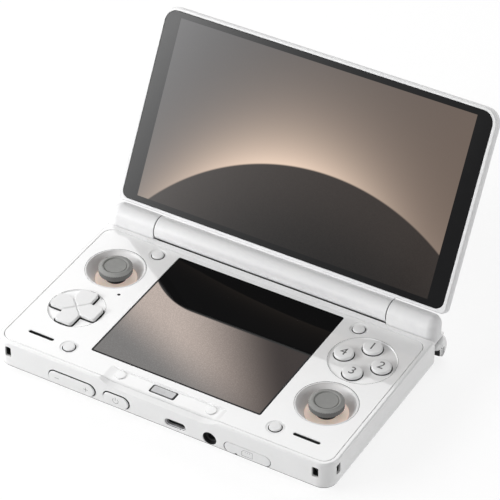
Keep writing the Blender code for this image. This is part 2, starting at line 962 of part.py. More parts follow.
# Thumb sticks
pivot_z = deck_z - stick_pivot_depth
well_floor_z = deck_z - well_depth
ring_low = well_floor_z - light_ring_thickness
lip_top = ring_low - fit_gap
lip_low = lip_top - ring_lip_thickness
well_profile = (
    (well_radius, deck_z),
    (well_radius, panel_low),
    (well_floor_radius + well_wall, well_floor_z),
    (well_floor_radius + well_wall, lip_low),
    (well_floor_radius - ring_lip, lip_low),
    (well_floor_radius - ring_lip, lip_top),
    (well_floor_radius, lip_top),
    (well_floor_radius, well_floor_z),
    (well_radius - well_rim, deck_z - well_rim / 2),
    (well_radius - well_rim, deck_z),
)
ring_profile = (
    (well_floor_radius - fit_gap, well_floor_z),
    (well_floor_radius - fit_gap, ring_low),
    (light_ring_hole_radius, ring_low),
    (light_ring_hole_radius, well_floor_z),
)
cap_top = deck_z + stick_cap_rise
cap_low = cap_top - stick_cap_height
cap_foot_radius = stick_cap_radius * cap_foot_share
cap_profile = (
    (0, cap_top - stick_ring_step),
    (stick_ring_radius - stick_ring_step, cap_top - stick_ring_step / 2),
    (stick_ring_radius, cap_top),
    (stick_ring_radius + stick_ring_step, cap_top - stick_ring_step / 2),
    (stick_cap_radius - stick_ring_step, cap_top - stick_shoulder),
    (stick_cap_radius, cap_top - stick_shoulder - stick_ring_step),
    (stick_cap_radius, cap_low + stick_cap_height * (1 - cap_foot_share)),
    (cap_foot_radius, cap_low),
    (stick_shaft_radius, cap_low),
    (stick_shaft_radius, cap_low - stick_shaft_length),
    (0, cap_low - stick_shaft_length),
)
bore_radius = stick_shaft_radius + running_gap
bore_low = cap_low - stick_shaft_length - stick_click - slide_gap
dome_start = math.acos(bore_radius / dome_radius)
dome_profile = [(0, bore_low), (bore_radius, bore_low)]
dome_profile += arc(0, pivot_z, dome_radius, dome_start, 0, corner_steps)
dome_profile += [(dome_radius, pivot_z - dome_foot), (0, pivot_z - dome_foot)]
gimbal_profile = (
    (gimbal_outer_radius, pivot_z + gimbal_height / 2),
    (gimbal_outer_radius, pivot_z - gimbal_height / 2),
    (gimbal_inner_radius, pivot_z - gimbal_height / 2),
    (gimbal_inner_radius, pivot_z + gimbal_height / 2),
)
pin_room = trunnion_radius + running_gap
for word, x, y in stick_places:
    finish(turned(word + "_stick_well", well_profile, x, y, circle_steps), white_shell)
    finish(turned(word + "_light_ring", ring_profile, x, y, circle_steps), light_guide)
    cap = turned(word + "_stick_cap", cap_profile, x, y, circle_steps)
    set_origin(cap, x, y, pivot_z)
    finish(cap, stick_rubber)
    dome = turned(word + "_stick_rocker", dome_profile, x, y, button_steps)
    dome_pin = circle(x, pivot_z, trunnion_radius, pin_steps)
    pin_ends = (dome_radius - cut_margin, gimbal_outer_radius)
    for way in (-1, 1):
        join(dome, forward("dome_pin", dome_pin, y + way * pin_ends[0], y + way * pin_ends[1]))
    set_origin(dome, x, y, pivot_z)
    finish(dome, black_plastic)
    gimbal = turned(word + "_stick_gimbal", gimbal_profile, x, y, button_steps)
    dome_pin_hole = circle(x, pivot_z, pin_room, pin_steps)
    cut(
        gimbal,
        forward(
            "pin_hole",
            dome_pin_hole,
            y - gimbal_outer_radius - cut_margin,
            y + gimbal_outer_radius + cut_margin,
        ),
    )
    gimbal_pin = circle(y, pivot_z, trunnion_radius, pin_steps)
    inner_end = (gimbal_inner_radius + gimbal_outer_radius) / 2
    outer_end = gimbal_outer_radius + trunnion_length
    for way in (-1, 1):
        join(gimbal, sideways("gimbal_pin", gimbal_pin, x + way * inner_end, x + way * outer_end))
    set_origin(gimbal, x, y, pivot_z)
    finish(gimbal, black_plastic)
    room = gimbal_outer_radius + stick_housing_room
    reach = room + stick_housing_wall
    housing_low = floor_z + fit_gap
    housing = box(
        word + "_stick_housing",
        x - reach,
        x + reach,
        y - reach,
        y + reach,
        housing_low,
        pivot_z + stick_housing_rise,
    )
    housing_hollow = (x - room, x + room, y - room, y + room, housing_low + stick_housing_floor, deck_z)
    cut(housing, box("housing_hollow", *housing_hollow))
    cut(
        housing,
        sideways(
            "pin_hole",
            circle(y, pivot_z, pin_room, pin_steps),
            x - reach - cut_margin,
            x + reach + cut_margin,
        ),
    )
    finish(housing, black_plastic)

# Four-way pad
pad_top = deck_z + pad_rise
pad_low = deck_z - pad_depth
pad = upright("direction_pad", cross(*pad_place, pad_reach, pad_arm_width), pad_low, pad_top)
join(
    pad,
    upright(
        "pad_flange",
        circle(*pad_place, pad_flange_radius, circle_steps),
        pad_low,
        pad_low + pad_flange_height,
    ),
)
dish = turned(
    "dish",
    ((0, pad_top - pad_dish_depth), (pad_reach, pad_top + pad_groove_width), (0, pad_top + pad_rise)),
    *pad_place,
    circle_steps,
)
cut(pad, dish)
pad_pivot_z = pad_low - pad_pivot_drop
set_origin(pad, *pad_place, pad_pivot_z)
finish(pad, white_key)
pivot_top = pad_low - 2 * fit_gap
pad_pivot = upright(
    "direction_pad_pivot",
    circle(*pad_place, pad_pivot_radius, button_steps),
    pivot_top - pad_pivot_height,
    pivot_top,
)
set_origin(pad_pivot, *pad_place, pad_pivot_z)
finish(pad_pivot, black_plastic)


def push_button(name, x, y, radius, rise, travel):
    """A round button whose flange is held under the panel and whose foot stops above the board."""
    top = deck_z + rise
    flange_top = panel_low - slide_gap
    foot = board_top + travel + slide_gap
    profile = (
        (0, top),
        (radius - button_edge, top),
        (radius, top - button_edge),
        (radius, flange_top),
        (radius + button_flange, flange_top),
        (radius + button_flange, flange_top - button_flange_height),
        (radius, flange_top - button_flange_height),
        (radius, foot),
        (0, foot),
    )
    button = turned(name, profile, x, y, button_steps)
    set_origin(button, x, y, deck_z)
    finish(button, white_key)


face_names = ("face_button_right", "face_button_rear", "face_button_left", "face_button_front")
for name, (x, y) in zip(face_names, face_places):
    push_button(name, x, y, face_radius, face_rise, face_travel)
for name, x, y in small_places:
    push_button(name, x, y, small_radius, small_rise, small_travel)


def front_key(name, x, z, length, height):
    """A long key through the front wall, with a flange inside it."""
    flange_front = wall_thickness + key_flange_gap
    key = forward(name, pill(x, z, length, height), -key_proud, flange_front + key_flange_thickness)
    flange = forward(
        "flange",
        pill(x, z, length + 2 * key_flange, height + 2 * key_flange),
        flange_front,
        flange_front + key_flange_thickness,
    )
    join(key, flange)
    set_origin(key, x, flange_front, z)
    finish(key, white_key)


front_key("volume_rocker", rocker_x, rocker_z, rocker_length, rocker_height)
front_key("power_button", power_x, power_z, power_length, power_height)

# USB-C port
usb_outline = pill(usb_x, usb_z, usb_width, usb_height)
usb_port = forward("usb_port", usb_outline, usb_inset, usb_inset + usb_length)
usb_mouth = pill(usb_x, usb_z, usb_width - 2 * usb_shell, usb_height - 2 * usb_shell)
cut(usb_port, forward("mouth", usb_mouth, -usb_inset, usb_inset + usb_length - usb_back))
tongue_side = usb_tongue_width / 2
tongue_half = usb_tongue_height / 2
tongue = (
    usb_x - tongue_side,
    usb_x + tongue_side,
    2 * usb_inset + usb_back,
    usb_inset + usb_length - usb_back / 2,
    usb_z - tongue_half,
    usb_z + tongue_half,
)
join(usb_port, box("tongue", *tongue))
finish(usb_port, plain_steel)

# Headphone jack
jack_top = board_bottom - fit_gap
nose_length = wall_thickness + jack_nose_radius * jack_nose_share
jack = forward(
    "audio_jack",
    circle(jack_x, jack_z, jack_nose_radius, button_steps),
    jack_inset,
    nose_length + slide_gap,
)
jack_box = (
    jack_x - jack_width / 2,
    jack_x + jack_width / 2,
    nose_length,
    nose_length + jack_length,
    jack_top - jack_height,
    jack_top,
)
join(jack, box("jack_body", *jack_box))
cut(
    jack,
    forward("jack_bore", circle(jack_x, jack_z, jack_bore_radius, pin_steps), -jack_inset, jack_bore_depth),
)
finish(jack, black_plastic)

# Card reader
reader_front = wall_thickness + slide_gap
reader_side = reader_width / 2
reader_low = door_z - card_slot_height / 2 - reader_shell
card_reader = box(
    "card_reader",
    door_x - reader_side,
    door_x + reader_side,
    reader_front,
    reader_front + reader_length,
    reader_low,
    board_bottom - fit_gap,
)
reader_slot = (
    door_x - card_width / 2,
    door_x + card_width / 2,
    0,
    reader_front + reader_length - usb_back,
    door_z - card_slot_height / 2,
    door_z + card_slot_height / 2,
)
cut(card_reader, box("reader_slot", *reader_slot))
finish(card_reader, plain_steel)

# Card door
card_door = forward("card_door", pill(door_x, door_z, door_length, door_height), 0, door_thickness)
nail = circle(door_x - door_nail_offset, door_z - door_height / 2, door_nail_radius, pin_steps)
cut(card_door, forward("nail", nail, -door_thickness, door_thickness / 2))
set_origin(card_door, door_x + door_length / 2, 0, door_z)
finish(card_door, white_key)


def shoulder_profile(front):
    """The side view of a shoulder button: straight in front, bulging behind."""
    top = deck_z - bumper_top_drop
    low = deck_z - bumper_bottom_drop
    middle = (top + low) / 2
    half = (top - low) / 2
    profile = [(front, low), (front, top - bumper_chamfer), (front + bumper_chamfer, top)]
    for i in range(2 * round_steps + 1):
        angle = math.pi / 2 - math.pi * i / (2 * round_steps)
        back = bumper_rear - bumper_bulge * (1 - math.cos(angle))
        profile.append((back, middle + half * math.sin(angle)))
    return profile


for word, side in (("left", -1), ("right", 1)):
    bumper_outer_x = half_width + bumper_overhang
    bumper = sideways(
        word + "_bumper", shoulder_profile(bumper_front), side * bumper_inner_x, side * bumper_outer_x
    )
    recess_left, recess_right = sorted((side * (bumper_outer_x - bumper_end_recess), side * body_width))
    inner_recess = (
        recess_left,
        recess_right,
        bumper_front - cut_margin,
        bumper_rear - bumper_skin,
        deck_z - bumper_bottom_drop - cut_margin,
        deck_z - bumper_top_drop - bumper_chamfer,
    )
    cut(bumper, box("end_recess", *inner_recess))
    set_origin(bumper, side * bumper_pivot_x, bumper_pivot_y, deck_z - bumper_top_drop)
    finish(bumper, white_key)
    trigger = sideways(
        word + "_trigger", shoulder_profile(trigger_front), side * trigger_inner_x, side * trigger_outer_x
    )
    set_origin(
        trigger,
        side * (trigger_inner_x + trigger_outer_x) / 2,
        trigger_pivot_y,
        deck_z - trigger_pivot_drop,
    )
    finish(trigger, white_key)

# Mainboard
board_side = cavity_side - board_side_gap
board_radius = hollow_radius - board_side_gap
board_rear = cavity_rear - board_side_gap
mainboard = upright(
    "mainboard",
    rounded(-board_side, board_side, board_front, board_rear, board_radius),
    board_bottom,
    board_top,
)
for _, x, y in stick_places:
    cut(mainboard, upright("hole", circle(x, y, board_hole_radius, circle_steps), 0, deck_z))
finish(mainboard, board_resin)

# Battery
battery_low = floor_z + fit_gap
battery = upright(
    "battery",
    rounded(
        -battery_width / 2, battery_width / 2, battery_front, battery_front + battery_depth, battery_edge
    ),
    battery_low,
    battery_low + battery_height,
)
finish(battery, black_plastic)

# Blower fan and heat sink
fan_y = fan_front + fan_depth / 2
fan_low = floor_z + fit_gap
fan_top = fan_low + fan_height
fan_side = fan_width / 2
fan_housing = box("fan_housing", -fan_side, fan_side, fan_front, fan_front + fan_depth, fan_low, fan_top)
fan_base = fan_low + fan_floor
cut(fan_housing, upright("fan_well", circle(0, fan_y, fan_well_radius, circle_steps), fan_base, deck_z))
outlet_side = fan_side - sink_fin
cut(fan_housing, box("outlet", -outlet_side, outlet_side, fan_y, rear_face, fan_base, fan_top - sink_fin))
for i in range(intake_hole_count):
    angle = 2 * math.pi * i / intake_hole_count
    hole_x = fan_intake_circle * math.cos(angle)
    hole_y = fan_y + fan_intake_circle * math.sin(angle)
    cut(fan_housing, upright("intake", circle(hole_x, hole_y, fan_intake_radius, pin_steps), 0, deck_z))
finish(fan_housing, black_plastic)

rotor_low = fan_base + slide_gap
rotor_profile = (
    (0, rotor_low),
    (rotor_radius, rotor_low),
    (rotor_radius, rotor_low + rotor_plate),
    (rotor_hub_radius, rotor_low + rotor_plate),
    (rotor_hub_radius, rotor_low + rotor_height),
    (0, rotor_low + rotor_height),
)
fan_rotor = turned("fan_rotor", rotor_profile, 0, fan_y, button_steps)
for i in range(blade_count):
    angle = 2 * math.pi * i / blade_count
    blade = box(
        "blade",
        rotor_radius - blade_length,
        rotor_radius,
        -blade_thickness / 2,
        blade_thickness / 2,
        rotor_low + rotor_plate / 2,
        rotor_low + rotor_height,
    )
    blade.data.transform(Matrix.Translation((0, fan_y, 0)) @ Matrix.Rotation(angle, 4, "Z"))
    join(fan_rotor, blade)
set_origin(fan_rotor, 0, fan_y, rotor_low)
finish(fan_rotor, black_plastic)

sink_top = fan_top - sink_fin - fit_gap
fin_pitch = (2 * outlet_side - 2 * fit_gap - sink_fin) / (fin_count - 1)
comb = []
for i in range(fin_count):
    fin_left = -outlet_side + fit_gap + fin_pitch * i
    comb += [
        (fin_left, sink_top - sink_plate),
        (fin_left, fan_base + fit_gap),
        (fin_left + sink_fin, fan_base + fit_gap),
        (fin_left + sink_fin, sink_top - sink_plate),
    ]
comb += [(comb[-1][0], sink_top), (comb[0][0], sink_top)]
heat_sink = forward("heat_sink", comb[1:-3] + comb[-3:-2] + comb[-2:], sink_front, sink_front + sink_depth)
finish(heat_sink, sink_aluminium)

# Speakers
speaker_low = board_top + fit_gap
for word, side in (("left", -1), ("right", 1)):
    speaker_edges = (
        side * slot_x - speaker_width / 2,
        side * slot_x + speaker_width / 2,
        slot_y - speaker_depth / 2,
        slot_y + speaker_depth / 2,
        speaker_edge,
    )
    finish(
        upright(word + "_speaker", rounded(*speaker_edges), speaker_low, speaker_low + speaker_height),
        black_plastic,
    )

# Lid, drawn flat in its own frame: the hinge axis at the origin, +Y up the screen, +Z towards the viewer
lid_start = upper_glass_offset - lid_lower_lip
lid_end = upper_glass_offset + upper_glass_height + lid_upper_lip


def lid_ring(inset, level):
    outline = rounded(
        inset - half_width,
        half_width - inset,
        lid_start + inset,
        lid_end - inset,
        lid_corner_radius - inset,
    )
    return [(x, y, level) for x, y in outline]


def place_lid_piece(thing, material):
    thing.rotation_euler = (lid_tilt, 0, 0)
    thing.location = (0, hinge_y, hinge_z)
    finish(thing, material)


def glass_outline(grow):
    side = upper_glass_width / 2 + grow
    low = upper_glass_offset - grow
    high = upper_glass_offset + upper_glass_height + grow
    return rounded(-side, side, low, high, upper_glass_radius + grow)


frame_back = glass_level - lid_frame_thickness
frame_rings = []
for i in range(round_steps):
    angle = math.pi / 2 * i / (round_steps - 1)
    level = glass_level - lid_rim_round * (1 - math.cos(angle))
    frame_rings.append(lid_ring(lid_rim_round * (1 - math.sin(angle)), level))
frame_rings.append(lid_ring(0, frame_back))
lid_frame = loft("lid_frame", frame_rings)
glass_seat = glass_level - upper_glass_thickness - fit_gap
glass_pocket = upright("glass_pocket", glass_outline(fit_gap), glass_seat, glass_level + cut_margin)
cut(lid_frame, glass_pocket)
window_side = upper_glass_width / 2 - display_ledge
window_low = upper_glass_offset + display_ledge / 2
window_high = upper_glass_offset + upper_glass_height - display_ledge / 2
cut(
    lid_frame,
    upright(
        "display_window",
        rounded(-window_side, window_side, window_low, window_high, lower_glass_radius),
        frame_back - cut_margin,
        glass_level,
    ),
)
barrel_side = barrel_width / 2
barrel = sideways("barrel", circle(0, 0, barrel_radius, circle_steps), -barrel_side, barrel_side)
web = (
    -barrel_side,
    barrel_side,
    0,
    lid_start + lid_rim_round,
    glass_level - web_depth,
    glass_level - lid_rim_round / 2,
)
join(barrel, box("web", *web))
for side in (-1, 1):
    bore = circle(0, 0, hinge_pin_radius + running_gap, pin_steps)
    bore_end = side * (barrel_side - hinge_pin_reach - slide_gap)
    cut(barrel, sideways("bore", bore, bore_end, side * (barrel_side + cut_margin)))
join(lid_frame, barrel)
place_lid_piece(lid_frame, white_shell)

upper_glass = upright("upper_glass", glass_outline(0), glass_seat + fit_gap, glass_level)
place_lid_piece(upper_glass, screen_glass)

display_edges = (
    upper_display_margin - window_side,
    window_side - upper_display_margin,
    window_low + upper_display_margin,
    window_high - upper_display_margin,
)
display_front = glass_seat - fit_gap
upper_display = box("upper_display", *display_edges, display_front - upper_display_thickness, display_front)
place_lid_piece(upper_display, display_stack)

cover_rings = [lid_ring(0, frame_back - fit_gap)]
for i in range(round_steps + 2):
    angle = math.pi / 2 * i / (round_steps + 1)
    level = glass_level - lid_side_height - lid_back_round * math.sin(angle)
    cover_rings.append(lid_ring(lid_back_round * (1 - math.cos(angle)), level))
lid_cover = loft("lid_cover", cover_rings)
cover_floor = glass_level - lid_thickness + lid_back_thickness
cover_hollow = [(x, y) for x, y, _ in lid_ring(lid_wall, 0)]
cut(lid_cover, upright("cover_hollow", cover_hollow, cover_floor, glass_level))
place_lid_piece(lid_cover, white_shell)

# The finished part stands with its bounding box centred over the origin
bpy.context.view_layer.update()
corners = [thing.matrix_world @ vertex.co for thing in bpy.data.objects for vertex in thing.data.vertices]
middle_x = (min(c.x for c in corners) + max(c.x for c in corners)) / 2
middle_y = (min(c.y for c in corners) + max(c.y for c in corners)) / 2
for thing in bpy.data.objects:
    thing.location -= Vector((middle_x, middle_y, 0))
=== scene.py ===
import math

import bmesh
import bpy
from mathutils import Matrix, Vector


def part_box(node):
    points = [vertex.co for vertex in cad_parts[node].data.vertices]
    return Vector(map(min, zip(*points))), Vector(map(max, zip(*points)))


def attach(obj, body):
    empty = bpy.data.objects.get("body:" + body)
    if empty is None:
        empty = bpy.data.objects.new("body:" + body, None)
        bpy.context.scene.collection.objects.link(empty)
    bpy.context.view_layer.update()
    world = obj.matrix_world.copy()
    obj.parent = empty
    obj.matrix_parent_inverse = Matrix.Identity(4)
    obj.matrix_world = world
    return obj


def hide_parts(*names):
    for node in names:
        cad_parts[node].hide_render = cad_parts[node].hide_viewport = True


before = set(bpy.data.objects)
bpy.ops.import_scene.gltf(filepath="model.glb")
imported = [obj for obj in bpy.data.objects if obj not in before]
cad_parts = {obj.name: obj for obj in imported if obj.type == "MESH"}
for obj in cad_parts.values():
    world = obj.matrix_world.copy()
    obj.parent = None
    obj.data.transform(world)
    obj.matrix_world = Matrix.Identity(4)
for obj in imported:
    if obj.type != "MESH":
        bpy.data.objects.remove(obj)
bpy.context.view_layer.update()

quarter = math.pi / 2

# Steps in round shapes, and small gaps
corner_steps = 12
edge_steps = 6
cut_steps = 4
circle_steps = 96
button_steps = 64
post_steps = 32
fit_gap = 0.00015
slide_gap = 0.00025
key_gap = 0.00045
cut_margin = 0.001
far_out = 0.2


def low(node):
    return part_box(node)[0]


def high(node):
    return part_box(node)[1]


def middle(node):
    return (low(node) + high(node)) / 2


def size(node):
    return high(node) - low(node)


# Case sizes from the frame
half_width = high("upper_case").x
front_y = low("upper_case").y
rear_y = high("upper_case").y
deck_z = high("deck_panel").z
case_low = low("lower_case").z
split_z = low("upper_case").z
panel_side = high("deck_panel").x
panel_front = low("deck_panel").y
panel_rear = high("deck_panel").y
panel_low = low("deck_panel").z
hinge_y = middle("left_hinge_pin").y
hinge_z = middle("left_hinge_pin").z

# Case sizes of its own
side_rear = front_y + 0.0843
block_side = 0.0392
front_corner_radius = 0.0065
rear_corner_radius = 0.0015
deck_edge_radius = 0.0007
bottom_edge_radius = 0.0040
split_edge = 0.00020
wall_thickness = 0.0032
floor_thickness = 0.0016
rear_wall_thickness = 0.0026
barrel_radius = 0.00485
saddle_front = hinge_y - barrel_radius - 2 * fit_gap
saddle_z = deck_z - 0.0025
saddle_under = saddle_z - 0.0014
saddle_side = half_width - 0.0010
saddle_fillet = 0.0022
panel_corner_radius = 0.0046
panel_ledge = 0.0012
hole_edge = 0.00018
lit_depth = 0.0002
seam_lit = 0.0003
soft_edge = 0.0003

# Camera, at the photograph's angle
camera_turn = math.radians(30.73)
camera_rise = math.radians(38.78)
camera_roll = math.radians(-0.57)
camera_place = (0.43088, -0.72305, 0.71685)
focal_pixels = 2781.0
picture_pixels = 500
sensor_millimetres = 36


def add_object(name, data):
    thing = bpy.data.objects.new(name, data)
    bpy.context.scene.collection.objects.link(thing)
    return thing


def make_camera():
    data = bpy.data.cameras.new("camera")
    data.sensor_width = sensor_millimetres
    data.lens = focal_pixels * sensor_millimetres / picture_pixels
    data.clip_start = 0.01
    data.clip_end = 50
    camera = add_object("camera", data)
    aimed = Matrix.Rotation(camera_turn, 4, "Z") @ Matrix.Rotation(quarter - camera_rise, 4, "X")
    camera.matrix_world = Matrix.Translation(camera_place) @ aimed @ Matrix.Rotation(camera_roll, 4, "Z")
    bpy.context.scene.camera = camera


make_camera()


# Material helpers
class Graph:
    """A node tree, with short calls for its nodes."""

    def __init__(self, tree):
        self.tree = tree

    def put(self, socket, value):
        if isinstance(value, bpy.types.NodeSocket):
            self.tree.links.new(value, socket)
        else:
            socket.default_value = value

    def node(self, kind, inputs=None, output=0, **settings):
        """Adds a node with its settings and inputs, and gives one of its outputs."""
        made = self.tree.nodes.new(kind)
        for key, value in settings.items():
            setattr(made, key, value)
        for key, value in (inputs or {}).items():
            self.put(made.inputs[key], value)
        return made.outputs[output] if made.outputs else None

    def maths(self, operation, first, second=0.0):
        return self.node("ShaderNodeMath", {0: first, 1: second}, operation=operation)

    def shown_rays(self):
        """One where the camera, a reflection or a transparent thing looks."""
        path = self.node("ShaderNodeLightPath").node.outputs
        share = self.maths("MAXIMUM", path["Is Camera Ray"], path["Is Glossy Ray"])
        return self.maths("MAXIMUM", share, path["Is Transmission Ray"])


class Paint(Graph):
    """A material with a Principled shader."""

    sockets = {
        "colour": "Base Color", "roughness": "Roughness", "metallic": "Metallic", "normal": "Normal",
        "coat": "Coat Weight", "coat_roughness": "Coat Roughness", "specular": "Specular IOR Level",
        "glow": "Emission Color", "glow_strength": "Emission Strength",
        "scatter": "Subsurface Weight", "scatter_scale": "Subsurface Scale",
    }

    def __init__(self, name):
        self.material = bpy.data.materials.new(name)
        self.material.use_nodes = True
        super().__init__(self.material.node_tree)
        self.shader = self.tree.nodes["Principled BSDF"]

    def set(self, **values):
        for key, value in values.items():
            self.put(self.shader.inputs[self.sockets[key]], value)

    def place(self):
        return self.node("ShaderNodeTexCoord", output="Object")

    def axis(self, number):
        return self.node("ShaderNodeSeparateXYZ", {0: self.place()}, number)

    def noise(self, scale, detail=2.0, roughness=0.5, stretch=(1, 1, 1)):
        spread = self.node("ShaderNodeMapping", {"Vector": self.place(), "Scale": stretch})
        inputs = {"Vector": spread, "Scale": scale, "Detail": detail, "Roughness": roughness}
        return self.node("ShaderNodeTexNoise", inputs, "Fac")

    def ranged(self, value, start, end, first, second):
        inputs = dict(enumerate((value, start, end, first, second)))
        return self.node("ShaderNodeMapRange", inputs, interpolation_type="SMOOTHSTEP")

    def mix(self, share, first, second):
        return self.node("ShaderNodeMix", {0: share, 6: first, 7: second}, 2, data_type="RGBA")

    def bump(self, height, strength, distance):
        return self.node("ShaderNodeBump", {"Strength": strength, "Distance": distance, "Height": height})


def tone(red, green, blue):
    """A colour given as the screen shows it, from 0 to 255, in the linear values that Blender takes."""
    linear = []
    for part in (red / 255, green / 255, blue / 255):
        linear.append(part / 12.92 if part <= 0.04045 else ((part + 0.055) / 1.055) ** 2.4)
    return (*linear, 1)


def moulded(name, colour, shade, roughness, grain, grain_depth, **more):
    """Moulded plastic: a fine even grain, slow changes of tone, and slight handling marks in the gloss."""
    paint = Paint(name)
    marks = paint.noise(420, 4, 0.65)
    both = paint.maths("ADD", paint.noise(60, 3), marks)
    paint.set(
        colour=paint.mix(paint.ranged(both, 0.7, 1.3, 0, 1), tone(*shade), tone(*colour)),
        roughness=paint.ranged(marks, 0.3, 0.7, roughness * 0.88, roughness * 1.14),
        normal=paint.bump(paint.noise(grain, 2, 0.6), 0.5, grain_depth),
        **more,
    )
    return paint.material


def metal(name, colour, shade, roughness, stretch):
    """Rolled or brushed metal: fine lines along one way, and duller spots."""
    paint = Paint(name)
    lines = paint.noise(900, 3, 0.6, stretch)
    paint.set(
        colour=paint.mix(paint.ranged(lines, 0.35, 0.65, 0, 1), tone(*shade), tone(*colour)),
        metallic=1.0,
        roughness=paint.ranged(paint.noise(200, 3), 0.3, 0.7, roughness * 0.8, roughness * 1.25),
        normal=paint.bump(lines, 0.4, 0.00001),
    )
    return paint.material


def resin():
    """A green board: a weave under the lacquer, and lighter copper tracks."""
    paint = Paint("board_resin")
    tracks = paint.ranged(paint.noise(160, 1, 0.2, (1, 6, 1)), 0.5, 0.54, 0, 1)
    paint.set(
        colour=paint.mix(tracks, tone(18, 66, 44), tone(38, 96, 66)),
        roughness=paint.ranged(paint.noise(1400, 1, 0.5, (1, 0.4, 1)), 0.3, 0.7, 0.35, 0.5),
        normal=paint.bump(tracks, 0.4, 0.00003),
    )
    return paint.material


white_gloss = moulded(
    "white_gloss", (243, 243, 243), (241, 241, 241), 0.40, 9000, 0.000003, coat=1.0, coat_roughness=0.03
)
white_satin = moulded("white_satin", (241, 241, 241), (237, 237, 238), 0.42, 7000, 0.000010)
white_button = moulded("white_button", (243, 243, 243), (239, 239, 239), 0.33, 8000, 0.000005)
grey_rubber = moulded("grey_rubber", (160, 160, 158), (148, 148, 146), 0.75, 5000, 0.000020)
# Painted shade: a darker copy of the cap rubber for the knurled side, standing in for the shade there
shaded_side_rubber = moulded("shaded_side_rubber", (122, 122, 121), (108, 108, 107), 0.8, 5000, 0.000020)
black_moulded = moulded("black_moulded", (30, 30, 31), (24, 24, 25), 0.55, 6000, 0.000012)
# Painted shade: a dark material for the deep walls of gaps and holes, where shade falls
gap_shade = moulded("gap_shade", (34, 34, 35), (28, 28, 29), 0.8, 6000, 0.000010)
grey_print = moulded("grey_print", (96, 96, 97), (88, 88, 89), 0.5, 9000, 0.000002)
pale_print = moulded("pale_print", (122, 122, 123), (114, 114, 115), 0.5, 9000, 0.000002)
foot_grip = moulded("foot_grip", (150, 150, 150), (138, 138, 138), 0.85, 4000, 0.000020)
light_guide = moulded(
    "light_guide", (244, 226, 214), (240, 220, 206), 0.5, 5000, 0.000004,
    scatter=0.4, scatter_scale=0.002, glow=tone(240, 218, 204), glow_strength=0.32,
)
soft_pad = moulded(
    "soft_pad", (243, 243, 243), (240, 240, 240), 0.40, 6000, 0.000004, coat=1.0, coat_roughness=0.04
)
badge_paint = moulded("badge_paint", (216, 216, 217), (196, 196, 198), 0.5, 1500, 0.000060)
port_metal = metal("port_metal", (214, 214, 215), (198, 198, 200), 0.5, (1, 10, 1))
steel = metal("steel", (190, 190, 192), (168, 168, 170), 0.3, (1, 10, 1))
aluminium = metal("aluminium", (205, 206, 208), (186, 187, 190), 0.38, (12, 1, 1))
gold = metal("gold", (226, 190, 120), (206, 166, 96), 0.25, (1, 8, 1))

# The CAD nodes that stay as they are
kept_nodes = (
    (steel, ("left_hinge_pin", "right_hinge_pin", "card_reader")),
    (aluminium, ("mid_plate", "heat_sink")),
    (resin(), ("mainboard",)),
    (black_moulded, (
        "lower_display", "upper_display", "battery", "fan_housing", "fan_rotor", "left_speaker",
        "right_speaker", "direction_pad_pivot", "left_stick_housing", "right_stick_housing",
        "left_stick_gimbal", "right_stick_gimbal", "left_stick_rocker", "right_stick_rocker",
    )),
)
for material, nodes in kept_nodes:
    for node in nodes:
        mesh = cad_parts[node].data
        mesh.materials.clear()
        mesh.materials.append(material)


# Outlines
def arc(centre_u, centre_v, radius, start, end, steps=corner_steps):
    angles = [start + (end - start) * i / steps for i in range(steps + 1)]
    return [(centre_u + radius * math.cos(a), centre_v + radius * math.sin(a)) for a in angles]


def circle(centre_u, centre_v, radius, steps=circle_steps):
    return arc(centre_u, centre_v, radius, 0, 2 * math.pi, steps)[:-1]


def rounded(left, right, bottom, top, radius, top_radius=None):
    """A rectangle with round corners. The two at the top may have a radius of their own."""
    wide = radius if top_radius is None else top_radius
    outline = arc(right - radius, bottom + radius, radius, -quarter, 0)
    outline += arc(right - wide, top - wide, wide, 0, quarter)
    outline += arc(left + wide, top - wide, wide, quarter, 2 * quarter)
    return outline + arc(left + radius, bottom + radius, radius, 2 * quarter, 3 * quarter)


def pill(centre_u, centre_v, length, height):
    radius = height / 2
    reach = length / 2 - radius
    outline = arc(centre_u + reach, centre_v, radius, -quarter, quarter, 2 * corner_steps)
    return outline + arc(centre_u - reach, centre_v, radius, quarter, 3 * quarter, 2 * corner_steps)


def eased(corners, radius, steps=4, closed=True):
    """The corners rounded off, each by the radius or by as much as its two sides allow."""
    outline = []
    radii = radius if isinstance(radius, (list, tuple)) else [radius] * len(corners)
    for i, corner in enumerate(corners):
        if not closed and i in (0, len(corners) - 1):
            outline.append(tuple(corner))
            continue
        here = Vector(corner)
        before = Vector(corners[i - 1]) - here
        after = Vector(corners[(i + 1) % len(corners)]) - here
        opening = before.angle(after, math.pi)
        reach = min(radii[i] / max(math.tan(opening / 2), 1e-6), 0.45 * before.length, 0.45 * after.length)
        round_off = reach * math.tan(opening / 2)
        if opening > math.radians(179) or round_off < 1e-7:
            outline += [tuple(here)] * (steps + 1)
            continue
        inward = (before.normalized() + after.normalized()).normalized()
        centre = here + inward * (round_off / math.sin(opening / 2))
        start = here + before.normalized() * reach - centre
        end = here + after.normalized() * reach - centre
        sweep = start.angle_signed(end)
        for step in range(steps + 1):
            turn = -sweep * step / steps
            outline.append(tuple(centre + Matrix.Rotation(turn, 2) @ start))
    return outline


def spaced(count, pitch, centre=0):
    return [centre + (i - (count - 1) / 2) * pitch for i in range(count)]


# Outlines that grow
def round_of(x, y, radius, steps=circle_steps):
    return lambda grow: circle(x, y, radius + grow, steps)


def round_at(node, radius, steps=circle_steps):
    return round_of(*middle(node).xy, radius, steps)


def pill_of(u, v, length, height):
    return lambda grow: pill(u, v, length + 2 * grow, height + 2 * grow)


def plate_of(left, right, bottom, top, radius):
    def outline(grow):
        return rounded(left - grow, right + grow, bottom - grow, top + grow, max(radius + grow, 1e-5))

    return outline


def centred(u, v, half_length, half_height, radius):
    return plate_of(u - half_length, u + half_length, v - half_height, v + half_height, radius)


